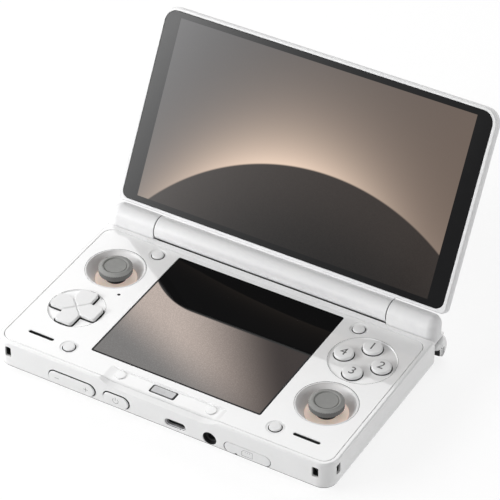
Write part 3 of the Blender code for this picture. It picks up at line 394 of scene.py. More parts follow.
def lid_plate_of(side, near, far, near_radius, far_radius):
    """The lid's plan: the two corners near the hinge are tighter than the two far ones."""

    def outline(grow):
        tight, wide = max(near_radius + grow, 0.0002), max(far_radius + grow, 0.0002)
        return rounded(-side - grow, side + grow, near - grow, far + grow, tight, wide)

    return outline


# Levels, each with how far the outline grows there
def round_levels(start, end, start_round, end_round, start_steps=edge_steps, end_steps=edge_steps):
    """A straight wall with a rounded edge at each end."""
    levels = [] if start_round else [(0, start)]
    for i in range(start_steps + 1 if start_round else 0):
        angle = quarter * (1 - i / start_steps)
        levels.append((-start_round * (1 - math.cos(angle)), start + start_round * (1 - math.sin(angle))))
    for i in range(end_steps + 1 if end_round else 0):
        angle = quarter * i / end_steps
        levels.append((-end_round * (1 - math.cos(angle)), end - end_round * (1 - math.sin(angle))))
    return levels if end_round else [*levels, (0, end)]


def flared_levels(start, surface, flare):
    """A cutter that leaves a rounded edge where it comes out of the surface."""
    levels = [(0, start)]
    for i in range(cut_steps + 1):
        angle = quarter * i / cut_steps
        levels.append((flare * (1 - math.cos(angle)), surface - flare * (1 - math.sin(angle))))
    return [*levels, (flare, surface + cut_margin)]


# Ways in which a solid stands
def upward(u, v, level):
    return (u, v, level)


def downward(u, v, level):
    return (u, v, -level)


def frontward(u, v, level):
    return (u, -level, v)


def rearward(u, v, level):
    return (u, level, v)


def rightward(u, v, level):
    return (level, u, v)


def leftward(u, v, level):
    return (-level, u, v)


# Solids
def new_object(name, points, faces):
    mesh = bpy.data.meshes.new(name)
    mesh.from_pydata([tuple(point) for point in points], [], faces)
    shape = bmesh.new()
    shape.from_mesh(mesh)
    bmesh.ops.remove_doubles(shape, verts=shape.verts, dist=1e-8)
    bmesh.ops.dissolve_degenerate(shape, edges=shape.edges, dist=1e-8)
    bmesh.ops.recalc_face_normals(shape, faces=shape.faces)
    shape.to_mesh(mesh)
    shape.free()
    return add_object(name, mesh)


def loft(name, rings):
    """A closed solid through rings of equally many points, with a flat cap on each end."""
    count = len(rings[0])
    points = [point for ring in rings for point in ring]
    faces = [tuple(range(count)), tuple(range(len(points) - count, len(points)))]
    for start in range(0, len(points) - count, count):
        for step in range(count):
            after = (step + 1) % count
            faces.append((start + step, start + after, start + count + after, start + count + step))
    return new_object(name, points, faces)


def stack(name, outline_of, levels, way=upward):
    """A solid whose outline grows or shrinks from level to level, standing in the given direction."""
    rings = [[way(u, v, level) for u, v in outline_of(grow)] for grow, level in levels]
    return loft(name, rings)


def plain(name, outline, start, end, way=upward):
    return stack(name, lambda grow: outline, [(0, start), (0, end)], way)


def shade_below(thing, level, way=upward):
    """Marks the faces behind a level, so that they take the second material, which is painted shade unless a
    piece gives another.
    """
    axis = [abs(part) for part in way(0, 0, 1)].index(1)
    sign = way(0, 0, 1)[axis]
    for face in thing.data.polygons:
        if face.center[axis] * sign < level:
            face.material_index = 1
    return thing


def hole(outline_of, start, surface, flare, way=upward, lit=lit_depth):
    """A cutter with a rounded mouth. Its deep walls are marked, so that they take painted shade."""
    levels = [(0, start), (0, surface - flare - lit)] + flared_levels(start, surface, flare)[1:]
    return shade_below(stack("hole", outline_of, levels, way), surface - flare - lit, way)


def turned(name, profile, x, y, steps=circle_steps, ripple=None):
    """The profile of radius and height turned once about an upright axis."""
    points = []
    starts = []
    for radius, height in profile:
        starts.append(len(points))
        if radius == 0:
            points.append((x, y, height))
            continue
        for step in range(steps):
            angle = 2 * math.pi * step / steps
            out = radius + (ripple(radius, height, angle) if ripple else 0)
            points.append((x + out * math.cos(angle), y + out * math.sin(angle), height))
    faces = []
    for i, (radius, _) in enumerate(profile):
        j = (i + 1) % len(profile)
        for step in range(steps):
            after = (step + 1) % steps
            here = [starts[i]] if radius == 0 else [starts[i] + step, starts[i] + after]
            there = [starts[j]] if profile[j][0] == 0 else [starts[j] + after, starts[j] + step]
            if len(here + there) > 2:
                faces.append(tuple(here + there))
    return new_object(name, points, faces)


def evaluated_mesh(thing):
    bpy.context.view_layer.update()
    graph = bpy.context.evaluated_depsgraph_get()
    return bpy.data.meshes.new_from_object(thing.evaluated_get(graph))


def solid_from(name, curve):
    """A curve or a text turned into a solid."""
    drawn = add_object(name, curve)
    mesh = evaluated_mesh(drawn)
    bpy.data.objects.remove(drawn)
    return add_object(name, mesh)


def combine(target, tools, operation):
    """One exact Boolean with all the tools, which are then gone."""
    group = bpy.data.collections.new("tools")
    bpy.context.scene.collection.children.link(group)
    for tool in tools:
        bpy.context.scene.collection.objects.unlink(tool)
        group.objects.link(tool)
    modifier = target.modifiers.new("combine", "BOOLEAN")
    modifier.operation = operation
    modifier.solver = "EXACT"
    modifier.material_mode = "INDEX"
    modifier.operand_type = "COLLECTION"
    modifier.collection = group
    mesh = evaluated_mesh(target)
    target.modifiers.clear()
    target.data = mesh
    for tool in tools:
        bpy.data.objects.remove(tool)
    bpy.data.collections.remove(group)
    return target


def cut(target, *tools):
    return combine(target, tools, "DIFFERENCE")


def join(target, tool):
    return combine(target, [tool], "UNION")


def merge(name, things):
    """Separate solids kept in one piece."""
    shape = bmesh.new()
    for thing in things:
        shape.from_mesh(thing.data)
        bpy.data.objects.remove(thing)
    mesh = bpy.data.meshes.new(name)
    shape.to_mesh(mesh)
    shape.free()
    return add_object(name, mesh)


def dress(thing, material, body, slot, *nodes, second=gap_shade):
    """Finishes a piece: its material, its shading, the body that carries it and the nodes it stands for."""
    mesh = thing.data
    marks = [face.material_index for face in mesh.polygons]
    mesh.materials.clear()
    mesh.materials.append(material)
    if any(marks):
        mesh.materials.append(second)
    mesh.polygons.foreach_set("material_index", marks)
    mesh.shade_smooth()
    mesh.set_sharp_from_angle(angle=math.radians(32))
    even = thing.modifiers.new("even_shading", "WEIGHTED_NORMAL")
    even.keep_sharp = True
    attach(thing, body)
    if nodes:
        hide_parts(*nodes)
    return thing


# Case shells
def case_outline(grow):
    """The plan of the lower half, with a narrower block behind it."""
    side, block = half_width + grow, block_side + grow
    front, rear, back = front_y - grow, side_rear + grow, rear_y + grow
    front_round = front_corner_radius + grow
    rear_round = max(rear_corner_radius + grow, fit_gap)
    right = arc(side - front_round, front + front_round, front_round, -quarter, 0)
    right += arc(side - rear_round, rear - rear_round, rear_round, 0, quarter)
    right.append((block, rear))
    right += arc(block - rear_round, back - rear_round, rear_round, 0, quarter)
    return right + [(-x, y) for x, y in reversed(right)]


def bottom_rounded(levels):
    """The levels, drawn in where the bottom edge is rounded."""
    drawn_in = []
    for grow, level in levels:
        rise = min(level - case_low, bottom_edge_radius)
        inset = bottom_edge_radius - math.sqrt(
            max(0, bottom_edge_radius**2 - (bottom_edge_radius - rise) ** 2)
        )
        drawn_in.append((grow - inset, level))
    return drawn_in


def underside_tool(outline_of, top):
    return stack("underside_hole", outline_of, flared_levels(-top, -case_low, hole_edge), downward)


lower_top = split_z - fit_gap
lower_wall = lower_top - split_edge - case_low
lower_levels = [(0, case_low + lower_wall * (i / (2 * edge_steps)) ** 2) for i in range(2 * edge_steps)]
lower_levels += round_levels(case_low, lower_top, 0, split_edge, end_steps=cut_steps)[1:]
bottom_shell = stack("bottom_shell", case_outline, bottom_rounded(lower_levels))
cavity_side = half_width - wall_thickness
cavity_rear = panel_rear - panel_ledge
block_hollow_side = block_side - wall_thickness
block_hollow_rear = rear_y - rear_wall_thickness
floor_z = case_low + floor_thickness
cavity = rounded(
    -cavity_side, cavity_side, front_y + wall_thickness, cavity_rear, front_corner_radius - wall_thickness
)
block_cavity = rounded(
    -block_hollow_side, block_hollow_side, cavity_rear - cut_margin, block_hollow_rear, 2 * fit_gap
)
tools = [
    plain("hollow", cavity, floor_z, deck_z),
    plain("block_hollow", block_cavity, floor_z, deck_z),
]
foot_nodes = ("left_front_foot", "left_rear_foot", "right_front_foot", "right_rear_foot")
foot_radius = size("left_front_foot").x / 2
for node in foot_nodes:
    tools.append(underside_tool(round_at(node, foot_radius + fit_gap), high("left_front_foot").z + fit_gap))
intake_length = 0.018
intake_width = 0.0012
for slot_y in spaced(5, 0.0030, middle("fan_housing").y):
    tools.append(underside_tool(pill_of(0, slot_y, intake_length, intake_width), floor_z + cut_margin))
screw_spots = ((0.0665, 0.0045), (0.0665, 0.0805), (0.0300, 0.0905))
screw_places = [(side * x, front_y + y) for side in (-1, 1) for x, y in screw_spots]
screw_well_radius = 0.0019
screw_top = case_low + 0.0010
for x, y in screw_places:
    tools.append(underside_tool(round_of(x, y, screw_well_radius, button_steps), screw_top))
cut(bottom_shell, *tools)
# Painted shade: the walls at the split seam take the dark material
shade_below(bottom_shell, split_edge / 2 - lower_top, downward)
dress(bottom_shell, white_gloss, "base", "white_shell", "lower_case")

# Screws
screw_radius = 0.0016
screw_edge = 0.0005
screw_dome = 0.00025
screw_cross = ((0.0009, 0.00018), (0.00018, 0.0009))
screws = []
for x, y in screw_places:
    head_profile = [
        (0, screw_top), (screw_radius, screw_top), (screw_radius, screw_top - screw_edge),
        (0, screw_top - screw_edge - screw_dome),
    ]
    head = turned("screw", eased(head_profile, 0.0001, closed=False), x, y, button_steps)
    arms = [
        plain("arm", centred(x, y, u, v, 0.00005)(0), screw_top - 0.0010, screw_top - 0.0003)
        for u, v in screw_cross
    ]
    screws.append(cut(head, *arms))
dress(merge("case_screws", screws), steel, "base", "plain_steel")

# Feet
for node in foot_nodes:
    levels = round_levels(-high(node).z, -low(node).z, 0, soft_edge)
    foot = stack(node + "_pad", round_at(node, foot_radius), levels, downward)
    dress(foot, foot_grip, "base", "foot_rubber", node)

# Upper shell
rim_low = split_z + split_edge
rim_rise = case_low + bottom_edge_radius - rim_low
upper_levels = round_levels(split_z, deck_z, split_edge, deck_edge_radius, cut_steps)
between = [(0, rim_low + rim_rise * i / edge_steps) for i in range(1, edge_steps + 1)]
upper_levels[cut_steps + 1:cut_steps + 1] = between
top_shell = stack("top_shell", case_outline, bottom_rounded(upper_levels))
panel_seat = panel_low - fit_gap
block_round = 0.0006
trough_edge = 0.00035
trough_profile = [
    (saddle_front, saddle_z),
    *arc(rear_y - block_round, saddle_z - block_round, block_round, quarter, 0, edge_steps),
    (far_out, saddle_z - block_round), (far_out, deck_z + cut_margin),
    (saddle_front - trough_edge, deck_z + cut_margin),
    *arc(saddle_front - trough_edge, deck_z - trough_edge, trough_edge, quarter, 0, cut_steps),
]
recess_side = 0.0272
recess_floor_side = 0.0226
recess_drop = 0.0006
recess_back = front_y + 0.0087
recess_lip = 0.0024
recess_chamfer = 0.0018
recess_chamfer_side = 0.0190
recess_steps = 16


def light_in_front(thing):
    """Takes the painted shade off the seam's front walls, where the recess opens it."""
    for face in thing.data.polygons:
        if face.center.y < panel_front + panel_corner_radius / 4:
            face.material_index = 0
    return thing


def faded(x, full_side):
    """The share of the recess's depth at one place: none at its end, all of it from the full side inwards."""
    way_in = min(1, (recess_side - abs(x)) / (recess_side - full_side))
    return way_in + 0.12 * math.sin(2 * math.pi * (way_in - 0.5)) / math.pi


def recess_tool():
    """The finger recess in the front edge, which fades out at both ends."""
    fading = recess_side - recess_chamfer_side
    places = [-recess_side + fading * i / recess_steps for i in range(recess_steps + 1)]
    places += [-x for x in reversed(places)]
    above = deck_z + cut_margin
    radii = [0, 0, hole_edge, soft_edge, 2 * deck_edge_radius, 0]
    rings = []
    for x in places:
        floor = deck_z + fit_gap - (recess_drop + fit_gap) * faded(x, recess_floor_side)
        drop = recess_chamfer * faded(x, recess_chamfer_side)
        front = floor - drop - drop / recess_lip * cut_margin
        side_view = [
            (front_y - cut_margin, above), (recess_back + hole_edge, above),
            (recess_back + hole_edge, deck_z), (recess_back, floor), (front_y + recess_lip, floor),
            (front_y - cut_margin, front),
        ]
        rings.append([(x, y, z) for y, z in eased(side_view, radii, 3)])
    tool = loft("recess", rings)
    shape = bmesh.new()
    shape.from_mesh(tool.data)
    bmesh.ops.triangulate(shape, faces=shape.faces)
    shape.to_mesh(tool.data)
    shape.free()
    return tool


# Holes in the front wall
rocker = middle("volume_rocker")
power = middle("power_button")
usb = middle("usb_port")
door = middle("card_door")
rocker_length, rocker_height = 0.0209, 0.0055
power_length, power_height = 0.0113, 0.0052
usb_width, usb_height = size("usb_port").x, size("usb_port").z
jack_x, jack_z = middle("audio_jack").x, deck_z - 0.0089
jack_nose_radius = 0.0028
door_length, door_height = size("card_door").x, size("card_door").z
door_edge = 0.00005
door_lit = 0.00002
through = wall_thickness + cut_margin


def front_tool(outline_of, depth=through, edge=hole_edge, lit=lit_depth):
    return hole(outline_of, -front_y - depth, -front_y, edge, frontward, lit)


def front_pill(place, length, height, gap=0):
    return pill_of(place.x, place.z, length + 2 * gap, height + 2 * gap)


front_tools = [
    front_tool(front_pill(rocker, rocker_length, rocker_height, key_gap)),
    front_tool(front_pill(power, power_length, power_height, key_gap)),
    front_tool(front_pill(usb, usb_width, usb_height, fit_gap)),
    front_tool(round_of(jack_x, jack_z, jack_nose_radius + fit_gap, button_steps)),
    front_tool(
        front_pill(door, door_length, door_height, fit_gap), size("card_door").y + fit_gap,
        door_edge, door_lit,
    ),
]
card_slot = centred(door.x, door.z, 0.0058, 0.0007, 0.0002)(0)
front_tools.append(plain("card_slot", card_slot, -front_y - through, -front_y, frontward))
lanyard_x = half_width - 0.0066
lanyard_y = front_y + 0.0063
lanyard_z = deck_z - 0.0049
lanyard_width = 0.0026
lanyard_height = 0.0046
lanyard_radius = 0.0006
lanyard_lit = 0.0007


def lanyard_of(place):
    return centred(place, lanyard_z, lanyard_width / 2, lanyard_height / 2, lanyard_radius)


for side, way in ((-1, leftward), (1, rightward)):
    front_tools.append(front_tool(lanyard_of(side * lanyard_x), lit=lanyard_lit))
    slot = hole(lanyard_of(lanyard_y), cavity_side - cut_margin, half_width, hole_edge, way, lanyard_lit)
    front_tools.append(slot)

# Vents in the rear wall, and the cut of the upper shell
vent_width = 0.0014
vent_height = 0.0050
vent_z = split_z + vent_width + vent_height / 2
vent_levels = flared_levels(block_hollow_rear - cut_margin, rear_y, hole_edge)
vents = []
for vent_x in spaced(9, 0.0036):
    vent = centred(vent_x, vent_z, vent_width / 2, vent_height / 2, vent_width / 2 - 1e-5)
    vents.append(stack("vent", vent, vent_levels, rearward))
opening_of = plate_of(
    -panel_side - fit_gap, panel_side + fit_gap, panel_front - fit_gap, panel_rear + fit_gap,
    panel_corner_radius,
)
panel_opening = hole(opening_of, panel_seat - cut_margin, deck_z, hole_edge, upward, seam_lit)
cut(
    top_shell,
    plain("hollow", cavity, 0, panel_seat),
    plain("block_hollow", block_cavity, 0, saddle_under),
    light_in_front(panel_opening),
    plain("trough", trough_profile, -far_out, far_out, rightward),
    recess_tool(),
)
cut(top_shell, *front_tools, *vents)
# Painted shade: the walls at the split seam take the dark material
shade_below(top_shell, split_z + split_edge / 2)

# Saddle behind the barrel
saddle_rear = hinge_y + barrel_radius
saddle_start = side_rear - cut_margin
saddle_top = saddle_z - fit_gap
saddle_profile = [
    (saddle_start, saddle_top),
    *arc(saddle_rear - hole_edge, saddle_top - hole_edge, hole_edge, quarter, 0, cut_steps),
    *arc(saddle_rear - hole_edge, saddle_under + hole_edge, hole_edge, 0, -quarter, cut_steps),
    *arc(
        side_rear + saddle_fillet, saddle_under - saddle_fillet, saddle_fillet, quarter, 2 * quarter,
        edge_steps,
    ),
    (saddle_start, saddle_under - saddle_fillet),
]
for way in (leftward, rightward):
    join(top_shell, plain("saddle", saddle_profile, block_side - cut_margin, saddle_side, way))
dress(top_shell, white_gloss, "base", "white_shell", "upper_case")

# Hinge knuckles, and black discs at the barrel's ends, which stand in for the shade in those seams: painted
# shade
barrel_side = 0.0531
knuckle_inner = 0.0534
knuckle_outer = 0.0743
knuckle_round = 0.0036
knuckle_low = saddle_z + fit_gap
knuckle_edge = 0.00025
pin_radius = 0.0015
shade_disc_radius = barrel_radius - 0.00012
shade_disc_gap = 0.00008


def knuckle_outline(grow):
    radius = barrel_radius + grow
    dome = arc(hinge_y, hinge_z, radius, 0, math.pi, 3 * corner_steps)
    return [(hinge_y + radius, knuckle_low), *dome, (hinge_y - radius, knuckle_low)]


def pin_hole(gap, start, end, way):
    return plain("pin_hole", circle(hinge_y, hinge_z, pin_radius + gap, button_steps), start, end, way)


knuckle_levels = round_levels(
    knuckle_inner, knuckle_outer, knuckle_edge, knuckle_round, cut_steps, 2 * edge_steps
)
shade_disc_levels = [(0, barrel_side + shade_disc_gap), (0, knuckle_inner - shade_disc_gap)]
for word, way in (("left", leftward), ("right", rightward)):
    knuckle = stack(word + "_knuckle", knuckle_outline, knuckle_levels, way)
    cut(knuckle, pin_hole(fit_gap, knuckle_inner - cut_margin, high("right_hinge_pin").x + fit_gap, way))
    dress(knuckle, white_satin, "base", "white_shell", word + "_hinge_knuckle")
    # Painted shade: a black disc in each end gap, so the seam reads dark
    shade_disc = stack(word + "_shade_disc", round_of(hinge_y, hinge_z, shade_disc_radius), shade_disc_levels, way)
    cut(shade_disc, pin_hole(shade_disc_gap, barrel_side - cut_margin, knuckle_inner + cut_margin, way))
    dress(shade_disc, black_moulded, "base", "black_plastic")

# Dark strip under the barrel, which stands in for the shade in the hinge gap (painted shade), and the light
# lip in front of it
shade_strip_side = knuckle_inner - fit_gap
shade_strip_top = deck_z - 0.0005
shade_strip_rear = rear_y - 0.0020
shade_strip_thickness = 0.0001
shade_strip_profile = [
    (saddle_front, saddle_z), (saddle_front, shade_strip_top), (saddle_front + shade_strip_thickness, shade_strip_top),
    (saddle_front + shade_strip_thickness, saddle_z + shade_strip_thickness), (shade_strip_rear, saddle_z + shade_strip_thickness),
    (shade_strip_rear, saddle_z),
]
shade_strip = plain("hinge_shade_strip", shade_strip_profile, -shade_strip_side, shade_strip_side, rightward)
dress(shade_strip, black_moulded, "base", "black_plastic")
lip_width = 0.0005
lip_height = 0.0007
lip_drop = 0.00004
lip_levels = round_levels(shade_strip_top - lip_height, deck_z - lip_drop, 0, 0.0003)
lip = stack("hinge_lip", centred(0, saddle_front, shade_strip_side, lip_width, 0.0001), lip_levels)
dress(lip, white_gloss, "base", "white_shell")

# Deck plate sizes
dark_wall = deck_z - hole_edge - seam_lit
below_panel = panel_low - cut_margin
glass_low, glass_high = low("lower_glass"), high("lower_glass")
glass_corner_radius = 0.0008
well_radius = size("left_stick_well").x / 2
well_gap = 0.00012
ring_drop = 0.0003
ring_floor = deck_z - ring_drop
pad = middle("direction_pad")
pad_reach = size("direction_pad").x / 2
pad_arm_width = 0.0077
pad_swing_gap = 0.00065
pad_tip_radius = 0.0012
pad_corner_radius = 0.0005
face_nodes = ("face_button_right", "face_button_rear", "face_button_left", "face_button_front")
face_middle = (middle("face_button_right") + middle("face_button_left")) / 2
sunken_rings = ((pad, pad_reach + 0.0009), (face_middle, 0.01345))
groove_gap = 0.00016
groove_width = 0.00010
groove_drop = 0.00012
face_radius = 0.00392
face_gap = 0.00040
small_nodes = ("left_rear_button", "left_front_button", "right_rear_button", "right_front_button")
small_radius = 0.00240
small_dish = 0.0009
dish_floor = deck_z - 0.00022
dish_steps = 6
speaker_slot_x = 0.0592
speaker_slot_y = front_y + 0.0101
speaker_slot_length = 0.0115
speaker_slot_width = 0.0016
microphone = (-0.0463, front_y + 0.0459)
microphone_radius = 0.00065
microphone_edge = 0.00003
badge_low, badge_high = low("front_badge"), high("front_badge")
badge_gap = 0.00024
badge_corner_radius = 0.0006
recess_floor = deck_z - recess_drop
rest_pads = ("left_rest_pad", "right_rest_pad")
rest_pad_radius = size("left_rest_pad").x / 2
rest_pad_gap = 0.00003


def pad_outline(grow):
    """The four-way pad's plan, with rounded tips and eased inner corners."""
    reach = pad_reach + grow
    half = pad_arm_width / 2 + grow
    corners = [
        (reach, -half), (reach, half), (half, half), (half, reach), (-half, reach), (-half, half),
        (-reach, half), (-reach, -half), (-half, -half), (-half, -reach), (half, -reach), (half, -half),
    ]
    tip, inner = pad_tip_radius + grow, max(pad_corner_radius - grow, 0.0001)
    return [(pad.x + u, pad.y + v) for u, v in eased(corners, [tip, tip, inner] * 4, 6)]


def ring_groove(x, y, radius):
    """A cutter for the fine dark line round a sunken ring: all its walls take painted shade, for the shade in
    the seam there.
    """
    inner, outer = radius + groove_gap, radius + groove_gap + groove_width
    bottom, top = deck_z - groove_drop, deck_z + cut_margin
    groove = turned("groove", [(inner, bottom), (outer, bottom), (outer, top), (inner, top)], x, y)
    return shade_below(groove, far_out)


def grown(low_corner, high_corner, gap, radius):
    """The plan of a box, wider by the gap all round."""
    return plate_of(
        low_corner.x - gap, high_corner.x + gap, low_corner.y - gap, high_corner.y + gap, radius
    )


# Deck plate
deck_plate = stack(
    "deck_plate",
    plate_of(-panel_side, panel_side, panel_front, panel_rear, panel_corner_radius),
    [(0, panel_low), *round_levels(dark_wall, deck_z, 0, hole_edge)],
)
# Painted shade: the plate's side walls below dark_wall take the dark material, as the seam's shade
light_in_front(shade_below(deck_plate, dark_wall))
window_of = grown(glass_low, glass_high, fit_gap, glass_corner_radius)
tools = [stack("window", window_of, flared_levels(below_panel, deck_z, hole_edge / 2)), recess_tool()]
for node in ("left_stick_well", "right_stick_well"):
    well_hole = plain("well_hole", round_at(node, well_radius + well_gap)(0), below_panel, far_out)
    # Painted shade: all walls of the gap round each well take the dark material
    tools.append(shade_below(well_hole, far_out))
ring_levels = [
    (-ring_drop, ring_floor), (0, deck_z - hole_edge / 2), (hole_edge / 2, deck_z),
    (hole_edge / 2, deck_z + cut_margin),
]
for place, radius in sunken_rings:
    tools.append(stack("ring", round_of(place.x, place.y, radius), ring_levels))
cut(deck_plate, *tools)

tools = [ring_groove(place.x, place.y, radius) for place, radius in sunken_rings]
tools.append(hole(lambda grow: pad_outline(pad_swing_gap + grow), below_panel, ring_floor, hole_edge))
for node in face_nodes:
    hole_of = round_at(node, face_radius + face_gap, button_steps)
    tools.append(hole(hole_of, below_panel, ring_floor, hole_edge))
dish_levels = [(0, below_panel), (0, dish_floor - lit_depth), (0, dish_floor)]
for i in range(1, dish_steps + 1):
    angle = quarter * i / dish_steps
    dish_levels.append((small_dish * math.sin(angle), deck_z - (deck_z - dish_floor) * math.cos(angle)))
dish_levels.append((small_dish, deck_z + cut_margin))
for node in small_nodes:
    small_hole = stack("small_hole", round_at(node, small_radius + face_gap, button_steps), dish_levels)
    # Painted shade: the deep walls round each small button take the dark material
    tools.append(shade_below(small_hole, dish_floor - lit_depth))
for side in (-1, 1):
    slot_of = pill_of(side * speaker_slot_x, speaker_slot_y, speaker_slot_length, speaker_slot_width)
    tools.append(hole(slot_of, below_panel, deck_z, hole_edge))
microphone_of = round_of(*microphone, microphone_radius, post_steps)
microphone_hole = stack("microphone", microphone_of, flared_levels(below_panel, deck_z, microphone_edge))
# Painted shade: the microphone hole's walls take the dark material
tools.append(shade_below(microphone_hole, deck_z - microphone_edge))
badge_of = grown(badge_low, badge_high, badge_gap, badge_corner_radius)
badge_pocket = stack(
    "badge_pocket", badge_of, flared_levels(badge_low.z - fit_gap, recess_floor, hole_edge / 2)
)
# Painted shade: the badge pocket's walls take the dark material
tools.append(shade_below(badge_pocket, recess_floor - hole_edge / 2))
for node in rest_pads:
    pocket = round_at(node, rest_pad_radius + rest_pad_gap, button_steps)(0)
    tools.append(plain("pad_pocket", pocket, low(node).z - fit_gap, far_out))
cut(deck_plate, *tools)
dress(deck_plate, white_gloss, "base", "white_shell", "deck_panel")

# Badge, on a dark frame whose rim shows round it as painted shade of its gap
badge_rim = 0.00030
badge_trim = 0.0003
badge_round = 0.0009
badge_edge = 0.00005


def badge_layer(name, inset, top, material, *nodes):
    plate = plate_of(
        badge_low.x + badge_trim + inset, badge_high.x - badge_trim - inset, badge_low.y + inset,
        badge_high.y - inset, badge_round - inset,
    )
    levels = round_levels(badge_low.z + inset / 4, top, 0, badge_edge)
    dress(stack(name, plate, levels), material, "base", "badge_metal", *nodes)


# Painted shade: the dark frame's rim reads as the shade round the badge
badge_layer("badge_shade_frame", 0, badge_high.z - 2 * badge_edge, grey_print, "front_badge")
badge_layer("blank_badge", badge_rim, badge_high.z, badge_paint)

# Rest pads
rest_pad_top = recess_floor + 0.00042
rest_pad_edge = 0.00022
rest_pad_dome = 0.00002
flat_radius = rest_pad_radius - rest_pad_edge
for node in rest_pads:
    profile = [
        (0, low(node).z), (rest_pad_radius, low(node).z),
        *arc(flat_radius, rest_pad_top - rest_pad_edge, rest_pad_edge, 0, quarter, edge_steps),
        (0, rest_pad_top + rest_pad_dome),
    ]
    rest_pad = turned(node + "_dome", profile, *middle(node).xy, button_steps)
    dress(rest_pad, soft_pad, "base", "white_key", node)

# Wells of the thumb sticks
well_rim = 0.0006
well_floor_radius = 0.0086
well_outer_radius = well_floor_radius + 0.0011
well_lip_radius = well_floor_radius - 0.0010
well_floor_z = deck_z - 0.0044
lip_top = low("left_light_ring").z - fit_gap
lip_low = low("left_stick_well").z
well_profile = [
    (well_radius, deck_z), (well_radius, panel_low), (well_outer_radius, well_floor_z),
    (well_outer_radius, lip_low), (well_lip_radius, lip_low), (well_lip_radius, lip_top),
    (well_floor_radius, lip_top), (well_floor_radius, well_floor_z),
    (well_radius - well_rim, deck_z - well_rim / 2), (well_radius - well_rim, deck_z),
]
well_radii = [0.00012, 0, 0, 0, 0, 0, 0, 0.0008, 0.0005, 0.00015]
ring_inner_radius = 0.0043
ring_edge = 0.00012


def stick_well(word):
    place = middle(word + "_stick_well")
    well = turned(word + "_well_bowl", eased(well_profile, well_radii), place.x, place.y)
    # Painted shade: the bowl's outer wall below the deck takes the dark material, as the shade in the gap
    # round it
    for face in well.data.polygons:
        if (face.center.xy - place.xy).length > well_radius - fit_gap and face.center.z < deck_z - fit_gap:
            face.material_index = 1
    dress(well, white_satin, "base", "white_shell", word + "_stick_well")
    node = word + "_light_ring"
    outer, bottom, top = size(node).x / 2, low(node).z, high(node).z
    profile = [(outer, top), (outer, bottom), (ring_inner_radius, bottom), (ring_inner_radius, top)]
    light_ring = turned(word + "_ring_light", eased(profile, ring_edge), place.x, place.y)
    dress(light_ring, light_guide, "base", "light_guide", node)


# Caps of the thumb sticks
stick_shaft_radius = 0.0015
stick_ring_radius = 0.0053
stick_ring_step = 0.0003
stick_shoulder = 0.0006
crown_radius = stick_ring_radius - 3 * stick_ring_step
crown_dip = 0.00012
crown_steps = 8
cap_side = 0.0021
cap_height = 0.0035
cap_foot_share = 0.9
cap_edge = 0.00025
cap_foot_edge = 0.0003
side_count = 14
knurl_count = 44
knurl_depth = 0.00014
knurl_start_radius = 0.0062
groove_depth = 0.00025


def cap_knurl(side_top):
    """Crossed ridges round the cap's side."""

    def ripple(radius, height, angle):
        down = side_top - height
        if radius < knurl_start_radius or down < 0 or down > cap_side:
            return 0
        twist = down / cap_side * 4 * math.pi
        ridges = knurl_count * angle
        return knurl_depth * (math.cos(ridges + twist) + math.cos(ridges - twist)) / 2

    return ripple


def stick_cap(word):
    node = word + "_stick_cap"
    top, bottom = high(node).z, low(node).z
    radius = size(node).x / 2 - knurl_depth
    crown_level = top - stick_ring_step
    side_top = top - stick_shoulder - stick_ring_step
    side_low = side_top - cap_side
    foot = top - cap_height
    crown = [
        (crown_radius * i / crown_steps, crown_level - crown_dip * (1 - (i / crown_steps) ** 2))
        for i in range(crown_steps + 1)
    ]
    shoulder = [
        crown[-1], (stick_ring_radius - 2.8 * stick_ring_step, crown_level - groove_depth),
        (stick_ring_radius - 1.8 * stick_ring_step, crown_level - groove_depth),
        (stick_ring_radius - stick_ring_step, top), (stick_ring_radius + stick_ring_step, top),
        (stick_ring_radius + 2 * stick_ring_step, top - 0.8 * stick_ring_step),
        (radius, top - stick_shoulder), (radius, side_top),
    ]
    under = [
        (radius, side_low), ((radius + knurl_depth) * cap_foot_share, foot), (stick_shaft_radius, foot),
        (stick_shaft_radius, bottom),
    ]
    profile = crown[:-1] + eased(shoulder, cap_edge, closed=False)
    profile += [(radius, side_top - cap_side * i / side_count) for i in range(1, side_count + 1)]
    profile += eased(under, cap_foot_edge, closed=False)[1:] + [(0, bottom)]
    cap = turned(word + "_thumb_cap", profile, *middle(node).xy, 4 * knurl_count, cap_knurl(side_top))
    # Painted shade: the cap's knurled side takes the darker rubber copy, as the shade on the side
    shade_below(cap, side_top)
    dress(cap, grey_rubber, node, "stick_rubber", node, second=shaded_side_rubber)


for word in ("left", "right"):
    stick_well(word)
    stick_cap(word)

# Four-way pad
pad_top = high("direction_pad").z
pad_low = low("direction_pad").z
pad_edge = 0.00032
pad_edge_start = 0.94
pad_dish_depth = 0.0004
pad_groove_depth = 0.00035
pad_groove_width = 0.00030
pad_bulge = 0.00004
pad_directions = 240
pad_shade_level = ring_floor + 0.00010
pad_flange_radius = 0.0089
pad_flange_height = 0.0011


def reach_to(outline, direction):
    """How far the outline is from the pad's middle in one direction."""
    across = Vector((-direction.y, direction.x))
    for i in range(len(outline)):
        start = Vector(outline[i - 1]) - pad.xy
        end = Vector(outline[i]) - pad.xy
        start_side, end_side = start.dot(across), end.dot(across)
        if start_side * end_side <= 0 and start_side != end_side:
            crossing = start + (end - start) * (start_side / (start_side - end_side))
            if crossing.dot(direction) > 0:
                return crossing.dot(direction)
    return pad_reach


def pad_height(u, v):
    """The pad's top: dished, with a slight bulge on each arm and a groove along each diagonal."""
    along, across = max(abs(u), abs(v)), min(abs(u), abs(v))
    dish = pad_dish_depth * (1 - min(along / pad_reach, 1))
    bulge = pad_bulge * (across / (pad_arm_width / 2)) ** 2
    away = (along - across) / math.sqrt(2)
    groove = pad_groove_depth * math.exp(-((away / pad_groove_width) ** 2))
    return pad_top - dish - bulge - groove


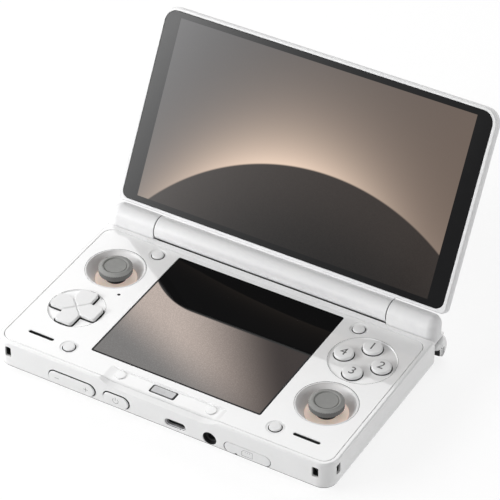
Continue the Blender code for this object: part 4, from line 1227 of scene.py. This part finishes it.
def pad_piece():
    directions = [Vector(point) for point in circle(0, 0, 1, pad_directions)]
    outline = pad_outline(0)
    reaches = [reach_to(outline, direction) for direction in directions]
    shares = [0.004, 0.02, 0.04, 0.07, 0.1, 0.14] + [0.18 + 0.76 * i / 22 for i in range(23)]
    shares += [0.955, 0.97, 0.98, 0.99, 0.996, 1.0]
    rings = []
    for share in shares:
        into_edge = max(0, (share - pad_edge_start) / (1 - pad_edge_start))
        drop = pad_edge * (1 - math.sqrt(max(0, 1 - into_edge**2)))
        spots = [direction * reach * share for direction, reach in zip(directions, reaches)]
        rings.append([(pad.x + u, pad.y + v, pad_height(u, v) - drop) for u, v in spots])
    for level in (pad_shade_level, pad_low):
        rings.append([(pad.x + d.x * r, pad.y + d.y * r, level) for d, r in zip(directions, reaches)])
    # Painted shade: the pad's walls below pad_shade_level take the dark material
    return shade_below(loft("four_way_pad", rings), pad_shade_level)


flange = plain("flange", circle(pad.x, pad.y, pad_flange_radius), pad_low, pad_low + pad_flange_height)
dress(join(pad_piece(), flange), white_button, "direction_pad", "white_key", "direction_pad")

# Push buttons
button_flange = 0.0008
flange_top = panel_low - slide_gap
flange_low = flange_top - 0.0006
dome_drop = 0.00016
wall_shade = 0.00012
dome_steps = 10


def push_button(node, radius, edge, drop, surface):
    """A round button with a slightly domed top, held by a flange under the deck. Its walls below the surface
    take painted shade.
    """
    top, foot = high(node).z, low(node).z
    flat = radius - edge
    profile = [(flat * i / dome_steps, top - drop * (i / dome_steps) ** 2) for i in range(dome_steps + 1)]
    profile += [(u, v - drop) for u, v in arc(flat, top - edge, edge, quarter, 0, edge_steps)[1:]]
    profile += [
        (radius, surface), (radius, flange_top), (radius + button_flange, flange_top),
        (radius + button_flange, flange_low), (radius, flange_low), (radius, foot), (0, foot),
    ]
    button = turned(node + "_key", profile, *middle(node).xy, button_steps)
    dress(shade_below(button, surface), white_button, node, "white_key", node)


for node in face_nodes:
    push_button(node, face_radius, 0.00045, dome_drop, ring_floor + wall_shade)
for node in small_nodes:
    push_button(node, small_radius, 0.0003, dome_drop / 2, dish_floor + wall_shade)

# Plain numbers on the face buttons
number_size = 0.0056
number_depth = 0.00012
number_rise = 0.00002


def button_number(node, number):
    text = bpy.data.curves.new(node + "_number", "FONT")
    text.body = number
    text.size = number_size
    text.extrude = number_depth
    solid = solid_from(node + "_number", text)
    vertices = solid.data.vertices
    centre = [
        (max(vertex.co[axis] for vertex in vertices) + min(vertex.co[axis] for vertex in vertices)) / 2
        for axis in (0, 1)
    ]
    place, top = middle(node), high(node).z
    for vertex in vertices:
        level = top + number_rise if vertex.co.z > 0 else top - number_depth - dome_drop
        vertex.co = (place.x + vertex.co.x - centre[0], place.y + vertex.co.y - centre[1], level)
    dress(solid, grey_print, node, "black_plastic")


for node, number in zip(face_nodes, "2143"):
    button_number(node, number)

# Keys on the front face
key_level = 0.00008 - front_y
key_flange = 0.0009
key_flange_front = -(front_y + wall_thickness + 0.00035)
key_edge = 0.0003


def front_key(node, name, length, height):
    """A long key through the front wall, rounded in front and with a flange behind. Its sides behind the
    front take painted shade.
    """
    face, back = -low(node).y, -high(node).y
    levels = [(key_flange, back), (key_flange, key_flange_front), (0, key_flange_front)]
    levels += round_levels(key_level, face, 0, key_edge)
    levels += [(-0.0008, face + 0.00002), (-0.0014, face + 0.00004)]
    key = stack(name, front_pill(middle(node), length, height), levels, frontward)
    dress(shade_below(key, key_level, frontward), white_button, node, "white_key", node)


front_key("volume_rocker", "rocker_key", rocker_length, rocker_height)
front_key("power_button", "power_key", power_length, power_height)

# Printed marks on the keys
mark_radius = 0.00017
mark_y = low("volume_rocker").y + mark_radius * 0.6
volume_mark_reach = 0.0066
mark_arm = 0.0010
power_radius = 0.00125


def front_path(x, z, level, steps):
    """A path on the front face, given by its steps from a place."""
    return [(x + u, level, z + v) for u, v in steps]


def line(name, paths, radius, material, body, slot):
    """A printed mark: a thin round line half sunk in the surface."""
    curve = bpy.data.curves.new(name, "CURVE")
    curve.dimensions = "3D"
    curve.bevel_depth = radius
    curve.bevel_resolution = 3
    curve.use_fill_caps = True
    for path in paths:
        spline = curve.splines.new("POLY")
        spline.points.add(len(path) - 1)
        for point, place in zip(spline.points, path):
            point.co = (*place, 1)
    return dress(solid_from(name, curve), material, body, slot)


bar = ((-mark_arm, 0), (mark_arm, 0))
upright = ((0, -mark_arm), (0, mark_arm))
volume_paths = [
    front_path(rocker.x - volume_mark_reach, rocker.z, mark_y, bar),
    front_path(rocker.x + volume_mark_reach, rocker.z, mark_y, bar),
    front_path(rocker.x + volume_mark_reach, rocker.z, mark_y, upright),
]
line("volume_marks", volume_paths, mark_radius, grey_print, "volume_rocker", "black_plastic")
power_ring = arc(0, 0, power_radius, math.radians(130), math.radians(410), 32)
power_bar = ((0, 0.0003), (0, 0.0016))
power_paths = [front_path(power.x, power.z, mark_y, steps) for steps in (power_ring, power_bar)]
line("power_mark", power_paths, mark_radius, grey_print, "power_button", "black_plastic")

# Charging port
usb_front, usb_back = -low("usb_port").y, -high("usb_port").y
usb_shell = 0.0003
bright_level = usb_front - 0.0013
tongue_side = 0.0033
tongue_half = 0.00035
contact_half = (0.00012, 0.00003)
port_levels = round_levels(usb_back, usb_front, 0, 0.00012)
port = stack("charging_port", front_pill(usb, usb_width, usb_height), port_levels, frontward)
mouth_levels = flared_levels(usb_back + 0.0010, usb_front, 0.0001)
mouth_levels.insert(1, (0, bright_level))
mouth = stack("mouth", front_pill(usb, usb_width, usb_height, -usb_shell), mouth_levels, frontward)
# Painted shade: the port's walls deeper than bright_level take the dark material
cut(port, shade_below(mouth, bright_level, frontward))
dress(port, port_metal, "base", "plain_steel", "usb_port")
tongue = stack(
    "port_tongue",
    centred(usb.x, usb.z, tongue_side, tongue_half, 0.0001),
    round_levels(usb_back + 0.0005, usb_front - 0.0014, 0, 0.0001),
    frontward,
)
dress(tongue, black_moulded, "base", "black_plastic")
contacts = []
for contact_x in spaced(12, 0.0005, usb.x):
    for contact_z in (usb.z - tongue_half - 0.00001, usb.z + tongue_half + 0.00001):
        contact = centred(contact_x, contact_z, *contact_half, 0.00001)(0)
        contacts.append(plain("contact", contact, usb_front - 0.0050, usb_front - 0.0018, frontward))
dress(merge("port_contacts", contacts), gold, "base", "plain_steel")

# Headphone jack
jack_low, jack_high = low("audio_jack"), high("audio_jack")
jack_front = -jack_low.y - 0.0016
nose_back = -front_y - wall_thickness - jack_nose_radius * 0.35
bore_radius = 0.0018
collar_radius = 0.00225
collar_bore_radius = 0.00175


def jack_round(name, radius, levels):
    return stack(name, round_of(jack_x, jack_z, radius, button_steps), levels, frontward)


socket_levels = round_levels(nose_back - slide_gap, jack_front, 0, 0.0002)
socket = jack_round("headphone_socket", jack_nose_radius, socket_levels)
socket_body = stack(
    "body",
    plate_of(jack_low.x, jack_high.x, jack_low.z, jack_high.z, 0.0004),
    round_levels(-jack_high.y, nose_back, soft_edge, 0),
    frontward,
)
join(socket, socket_body)
cut(socket, jack_round("bore", bore_radius, flared_levels(-front_y - 0.012, jack_front, 0.0001)))
dress(socket, black_moulded, "base", "black_plastic", "audio_jack")
collar = jack_round("jack_collar", collar_radius, [(0, -front_y - 0.0060), (0, -front_y - 0.0035)])
cut(collar, jack_round("bore", collar_bore_radius, [(0, -front_y - 0.0070), (0, -front_y - 0.0025)]))
dress(collar, steel, "base", "plain_steel")

# Card door
flap_gap = 0.00015
door_face, door_back = -low("card_door").y, -high("card_door").y
door_lit_level = door_face - 0.0003
door_levels = [(0, door_back), *round_levels(door_lit_level, door_face, 0, 0.0002)]
card_flap = stack("card_flap", front_pill(door, door_length, door_height, -flap_gap), door_levels, frontward)
# Painted shade: the flap's sides behind door_lit_level take the dark material
shade_below(card_flap, door_lit_level, frontward)
nail_of = round_of(door.x - 0.0049, door.z - door_height / 2, 0.0007, button_steps)
nail_levels = flared_levels(door_back + size("card_door").y / 2, door_face, hole_edge)
cut(card_flap, stack("nail", nail_of, nail_levels, frontward))
dress(card_flap, white_satin, "card_door", "white_key", "card_door")
card_outline = [
    (-0.0023, -0.0014), (0.0023, -0.0014), (0.0023, 0.0014), (-0.0014, 0.0014), (-0.0023, 0.0005),
    (-0.0023, -0.0014),
]
card_contacts = [((u, 0.0003), (u, 0.0009)) for u in (-0.0008, 0.0001, 0.0010)]
card_paths = [front_path(door.x, door.z, mark_y + 0.0005, steps) for steps in (card_outline, *card_contacts)]
line("card_mark", card_paths, mark_radius * 0.8, pale_print, "card_door", "black_plastic")

# Lanyard posts
post_inset = 0.0034
post_radius = 0.0011
post_half = 0.0034
posts = []
for side in (-1, 1):
    post = circle(side * (half_width - post_inset), front_y + post_inset, post_radius, post_steps)
    posts.append(plain("post", post, lanyard_z - post_half, lanyard_z + post_half))
dress(merge("lanyard_posts", posts), steel, "base", "plain_steel")

# Shoulder buttons
shoulder_chamfer = 0.0026
shoulder_bulge = 0.0036
bulge_steps = 24
end_round = 0.0008
outer_rounds = (("bumper", 0.0022), ("trigger", end_round))
# Each step in the bumper's outer end: how far back, how deep, and its margins below and above
end_steps = ((0.0056, 0.0009, 0.0016, 0.0042), (0.0034, 0.0030, 0.0006, 0.0034))


def shoulder_of(node):
    """The side view of a shoulder button: straight in front, bulging behind."""
    front, rear = low(node).y, high(node).y
    top, bottom = high(node).z, low(node).z
    centre, half = (top + bottom) / 2, (top - bottom) / 2

    def outline(grow):
        corners = [
            (front - grow, bottom - grow), (front - grow, top - shoulder_chamfer + grow / 2),
            (front + shoulder_chamfer - grow / 2, top + grow),
        ]
        view = eased(corners, [0.0008, 0.0012, 0.0012], 5)
        for i in range(bulge_steps + 1):
            angle = quarter - math.pi * i / bulge_steps
            back = rear + grow - shoulder_bulge * (1 - math.cos(angle))
            view.append((back, centre + (half + grow) * math.sin(angle)))
        return view

    return outline


def end_step(node, way, outer, back, depth, under, over):
    view = rounded(
        low(node).y - cut_margin, low(node).y + back, low(node).z + under, high(node).z - over, 0.0005
    )
    return plain("end_step", view, outer - depth, far_out, way)


for word, way in (("left", leftward), ("right", rightward)):
    for kind, outer_round in outer_rounds:
        node = word + "_" + kind
        inner, outer = sorted((abs(low(node).x), abs(high(node).x)))
        key = stack(node + "_key", shoulder_of(node), round_levels(inner, outer, end_round, outer_round), way)
        if kind == "bumper":
            shallow, deep = [end_step(node, way, outer, *sizes) for sizes in end_steps]
            cut(key, shallow)
            # Painted shade: the deep step's walls take the dark material, as the shade in the gap at the
            # bumper's end
            cut(key, shade_below(deep, far_out, way))
        dress(key, white_gloss, node, "white_key", node)

# Lid sizes, in the lid's own frame: the hinge axis at the origin, +Y up the screen, +Z to the viewer
lid_matrix = Matrix.Translation((0, hinge_y, hinge_z)) @ Matrix.Rotation(math.radians(60.14), 4, "X")
lid_glass_side = half_width - 0.001775
lid_glass_low = 0.00693
lid_glass_high = lid_glass_low + 0.0795
lid_glass_radius = 0.0050
lid_glass_near_radius = 0.0032
glass_level = 0.00024
glass_edge = 0.0001
lid_low = lid_glass_low - 0.0015
lid_high = lid_glass_high + 0.0014
lid_corner_radius = 0.0065
lid_near_radius = 0.0022
lid_frame_back = glass_level - 0.0015
lid_rim_round = 0.0006
lid_back_round = 0.0050
lid_side_low = glass_level - 0.0032
lid_hollow_low = glass_level - 0.0082 + 0.0018
lid_wall = 0.0022
display_ledge = 0.0036
web_low = glass_level - 0.0014
web_high = glass_level - lid_rim_round / 2
glass_under = glass_level - 0.0009
glass_seat = glass_under - fit_gap
bore_gap = 0.00008
bore_depth = 0.01225
lid_of = lid_plate_of(half_width, lid_low, lid_high, lid_near_radius, lid_corner_radius)
lid_glass_of = lid_plate_of(
    lid_glass_side, lid_glass_low, lid_glass_high, lid_glass_near_radius, lid_glass_radius
)


def open_lid(thing):
    """Turns a piece drawn flat in the lid's frame to where the open lid is."""
    thing.data.transform(lid_matrix)
    return thing


# Lid frame with its barrel
lid_rim = stack("lid_rim", lid_of, round_levels(lid_frame_back, glass_level, split_edge, lid_rim_round))
window_side = lid_glass_side - display_ledge
window = rounded(
    -window_side, window_side, lid_glass_low + display_ledge / 2, lid_glass_high - display_ledge / 2, 0.0008
)
pocket_levels = [(fit_gap + grow, level) for grow, level in flared_levels(glass_seat, glass_level, hole_edge)]
cut(
    lid_rim,
    stack("glass_pocket", lid_glass_of, pocket_levels),
    plain("display_window", window, lid_frame_back - cut_margin, glass_under),
)
barrel_levels = round_levels(-barrel_side, barrel_side, knuckle_edge, knuckle_edge)
barrel = stack("barrel", round_of(0, 0, barrel_radius), barrel_levels, rightward)
web_rear = lid_low + lid_rim_round
web_view = [(0, web_low), (0, web_high), (web_rear, web_high), (web_rear, web_low)]
join(barrel, plain("web", web_view, -barrel_side, barrel_side, rightward))
bore_view = circle(0, 0, pin_radius + bore_gap, button_steps)
bore_ends = (barrel_side - bore_depth, barrel_side + cut_margin)
cut(barrel, *[plain("bore", bore_view, *bore_ends, way) for way in (leftward, rightward)])
join(lid_rim, barrel)
dress(open_lid(lid_rim), white_satin, "lid", "white_shell", "lid_frame")

# Lid cover
cover_levels = round_levels(
    lid_side_low - lid_back_round, lid_frame_back - fit_gap, lid_back_round, split_edge,
    2 * edge_steps, cut_steps,
)
lid_shell = stack("lid_shell", lid_of, cover_levels)
cut(lid_shell, plain("cover_hollow", lid_of(-lid_wall), lid_hollow_low, glass_level))
dress(open_lid(lid_shell), white_satin, "lid", "white_shell", "lid_cover")


# Screens
screen_edge = 0.00004
active_half_width = 0.0664
active_half_height = 0.03735
active_middle = lid_glass_low + 0.00242 + active_half_height
lower_middle = (glass_low.y + glass_high.y) / 2
lower_half_depth = (glass_high.y - glass_low.y) / 2
lower_border = 0.0006


def screen_paint(name, centre_y, half_height, half_length, picture, specular, roughness):
    """Black glass with a lit picture inside a dark border, placed by the piece's own coordinates."""
    paint = Paint(name)
    x = paint.axis(0)
    y = paint.maths("SUBTRACT", paint.axis(1), centre_y)
    over_x = paint.maths("SUBTRACT", paint.maths("ABSOLUTE", x), half_length)
    over_y = paint.maths("SUBTRACT", paint.maths("ABSOLUTE", y), half_height)
    lit = paint.ranged(paint.maths("MAXIMUM", over_x, over_y), -screen_edge, screen_edge, 1, 0)
    u = paint.maths("DIVIDE", x, half_height)
    v = paint.maths("DIVIDE", y, half_height)
    paint.set(
        glow=paint.mix(lit, tone(6, 6, 7), picture(paint, u, v)), glow_strength=1.0,
        specular=specular, colour=paint.mix(paint.noise(80), tone(8, 8, 9), tone(12, 12, 13)),
        roughness=paint.ranged(paint.noise(300, 4), 0.35, 0.7, roughness, roughness * 1.6),
    )
    return paint.material


def ring_distance(paint, u, v, centre_u, centre_v, radius):
    du = paint.maths("SUBTRACT", u, centre_u)
    dv = paint.maths("SUBTRACT", v, centre_v)
    squares = paint.maths("ADD", paint.maths("MULTIPLY", du, du), paint.maths("MULTIPLY", dv, dv))
    return paint.maths("SUBTRACT", paint.maths("SQRT", squares), radius)


def horizon(paint, u, v):
    """A dark round horizon with a warm glow along it, on a taupe sky."""
    sky_share = paint.ranged(paint.maths("ADD", u, paint.maths("MULTIPLY", v, -0.5)), -2.0, 1.9, 0, 1)
    sky = paint.mix(sky_share, tone(70, 70, 72), tone(106, 92, 83))
    away = ring_distance(paint, u, v, 0.35, -2.75, 2.65)
    outside = paint.maths("MAXIMUM", away, 0.0)
    fade = paint.maths("POWER", math.e, paint.maths("MULTIPLY", outside, -2.6))
    along = paint.ranged(paint.maths("ABSOLUTE", paint.maths("SUBTRACT", u, -0.25)), 0.0, 2.0, 1, 0.15)
    glow = paint.mix(paint.maths("MULTIPLY", fade, along), sky, tone(234, 208, 187))
    inner = paint.mix(paint.ranged(away, -1.0, 0.0, 0, 1), tone(12, 11, 11), tone(46, 40, 37))
    colour = paint.mix(paint.ranged(away, -0.012, 0.012, 0, 1), inner, glow)
    grain = paint.noise(6000, 2, 0.7)
    return paint.mix(paint.ranged(grain, 0.3, 0.7, 0, 0.05), colour, tone(150, 136, 126))


def dusk_and_lid_reflection(paint, u, v):
    """A soft diagonal band, warm above and grey below and darker to the right, which ends at a dark hill, a
    painted reflection of the open lid's dark glass.
    """
    across = paint.maths("DIVIDE", u, glass_high.x / lower_half_depth)
    low_share = paint.ranged(paint.maths("ADD", v, paint.maths("MULTIPLY", across, 0.45)), -1.1, -0.3, 0, 1)
    band = paint.mix(low_share, tone(122, 121, 120), tone(196, 181, 172))
    right = paint.maths("ADD", across, paint.maths("MULTIPLY", v, 0.64))
    sky = paint.mix(paint.ranged(right, -0.6, 0.8, 0, 1), band, tone(28, 15, 12))
    slope = paint.maths("MAXIMUM", paint.maths("SUBTRACT", -0.42, across), 0.0)
    crest = paint.maths("MULTIPLY", paint.maths("MULTIPLY", slope, slope), 0.85)
    over = paint.maths("SUBTRACT", v, paint.maths("ADD", crest, 0.185))
    grain = paint.noise(2200, 2, 0.8)
    speckled = paint.mix(paint.ranged(grain, 0.4, 0.7, 0.26, 0), sky, tone(60, 46, 38))
    # Painted reflection: the near-black hill stands in for the lid mirrored in the screen
    return paint.mix(paint.ranged(over, -0.012, 0.012, 0, 1), speckled, tone(3, 3, 3))


upper_screen = screen_paint(
    "upper_screen", active_middle, active_half_height, active_half_width, horizon, 0.125, 0.05
)
upper_pane = stack("upper_pane", lid_glass_of, round_levels(glass_under, glass_level, 0, glass_edge))
upper_pane.matrix_world = lid_matrix
dress(upper_pane, upper_screen, "lid", "screen_glass", "upper_glass")
lower_screen = screen_paint(
    "lower_screen", lower_middle, lower_half_depth - lower_border, glass_high.x - lower_border, dusk_and_lid_reflection,
    0.075, 0.015,
)
lower_glass = stack(
    "lower_pane", grown(glass_low, glass_high, 0, glass_corner_radius),
    round_levels(glass_low.z, glass_high.z, 0, glass_edge),
)
dress(lower_glass, lower_screen, "base", "screen_glass", "lower_glass")

# Floor, world and lamps
floor_half = 6.0
floor_matt = tone(218, 218, 218)
floor_faint = (0.24, 0.24, 0.24, 1)
floor_glow = 0.81
world_level = 0.22


def make_floor():
    """A pale floor that is seen as almost white, and that keeps the object's shadow."""
    half = floor_half
    corners = [(-half, -half, 0), (half, -half, 0), (half, half, 0), (-half, half, 0)]
    mesh = bpy.data.meshes.new("floor")
    mesh.from_pydata(corners, [], [(0, 1, 2, 3)])
    floor = add_object("floor", mesh)
    material = bpy.data.materials.new("floor")
    material.use_nodes = True
    material.node_tree.nodes.clear()
    graph = Graph(material.node_tree)
    matt = graph.node("ShaderNodeBsdfDiffuse", {"Color": floor_matt})
    faint = graph.node("ShaderNodeBsdfDiffuse", {"Color": floor_faint})
    bright = graph.node("ShaderNodeEmission", {"Strength": floor_glow})
    both = graph.node("ShaderNodeAddShader", {0: faint, 1: bright})
    seen = graph.node("ShaderNodeMixShader", {0: graph.shown_rays(), 1: matt, 2: both})
    graph.node("ShaderNodeOutputMaterial", {"Surface": seen})
    mesh.materials.append(material)


def make_world():
    """White where it is seen, and an even dim light on the object."""
    world = bpy.data.worlds.new("studio")
    bpy.context.scene.world = world
    world.use_nodes = True
    world.node_tree.nodes.clear()
    graph = Graph(world.node_tree)
    light = graph.node("ShaderNodeBackground", {"Color": (1, 1, 1, 1), "Strength": world_level})
    white = graph.node("ShaderNodeBackground", {"Color": (1, 1, 1, 1), "Strength": 1.0})
    seen = graph.node("ShaderNodeMixShader", {0: graph.shown_rays(), 1: light, 2: white})
    graph.node("ShaderNodeOutputWorld", {"Surface": seen})


def make_lamp(name, direction, distance, width, height, radiance):
    """A softbox that faces the object, given by its radiance, where white is 1."""
    data = bpy.data.lights.new(name, "AREA")
    data.shape = "RECTANGLE"
    data.size = width
    data.size_y = height
    data.energy = radiance * math.pi * width * height
    lamp = add_object(name, data)
    away = Vector(direction).normalized()
    aimed = away.to_track_quat("Z", "Y").to_matrix().to_4x4()
    lamp.matrix_world = Matrix.Translation(away * distance) @ aimed
    return lamp


def fade_side(lamp, start, rate):
    """Lets a softbox fade out towards one side, so that its reflection has no hard edge."""
    lamp.data.use_nodes = True
    graph = Graph(lamp.data.node_tree)
    place = graph.node("ShaderNodeNewGeometry", output="Parametric")
    across = graph.node("ShaderNodeSeparateXYZ", {0: place})
    past = graph.maths("MAXIMUM", graph.maths("SUBTRACT", across, start), 0)
    fading = graph.maths("EXPONENT", graph.maths("MULTIPLY", past, -rate))
    graph.put(graph.tree.nodes["Emission"].inputs["Strength"], fading)


make_floor()
make_world()
key_lamp = make_lamp("key_lamp", (-0.625, -0.694, 0.350), 1.5, 1.15, 0.30, 17.0)
fade_side(key_lamp, 0.715, 13)
make_lamp("back_lamp", (-0.24, 0.716, 0.656), 2.0, 1.6, 1.05, 2.4)
make_lamp("top_lamp", (-0.76, -0.28, 0.58), 0.62, 0.26, 0.26, 4.6)
make_lamp("fill_lamp", (0.95, 0.10, 0.28), 1.5, 1.0, 0.8, 2.3)

bpy.context.scene.view_settings.view_transform = "Standard"

bpy.context.view_layer.update()
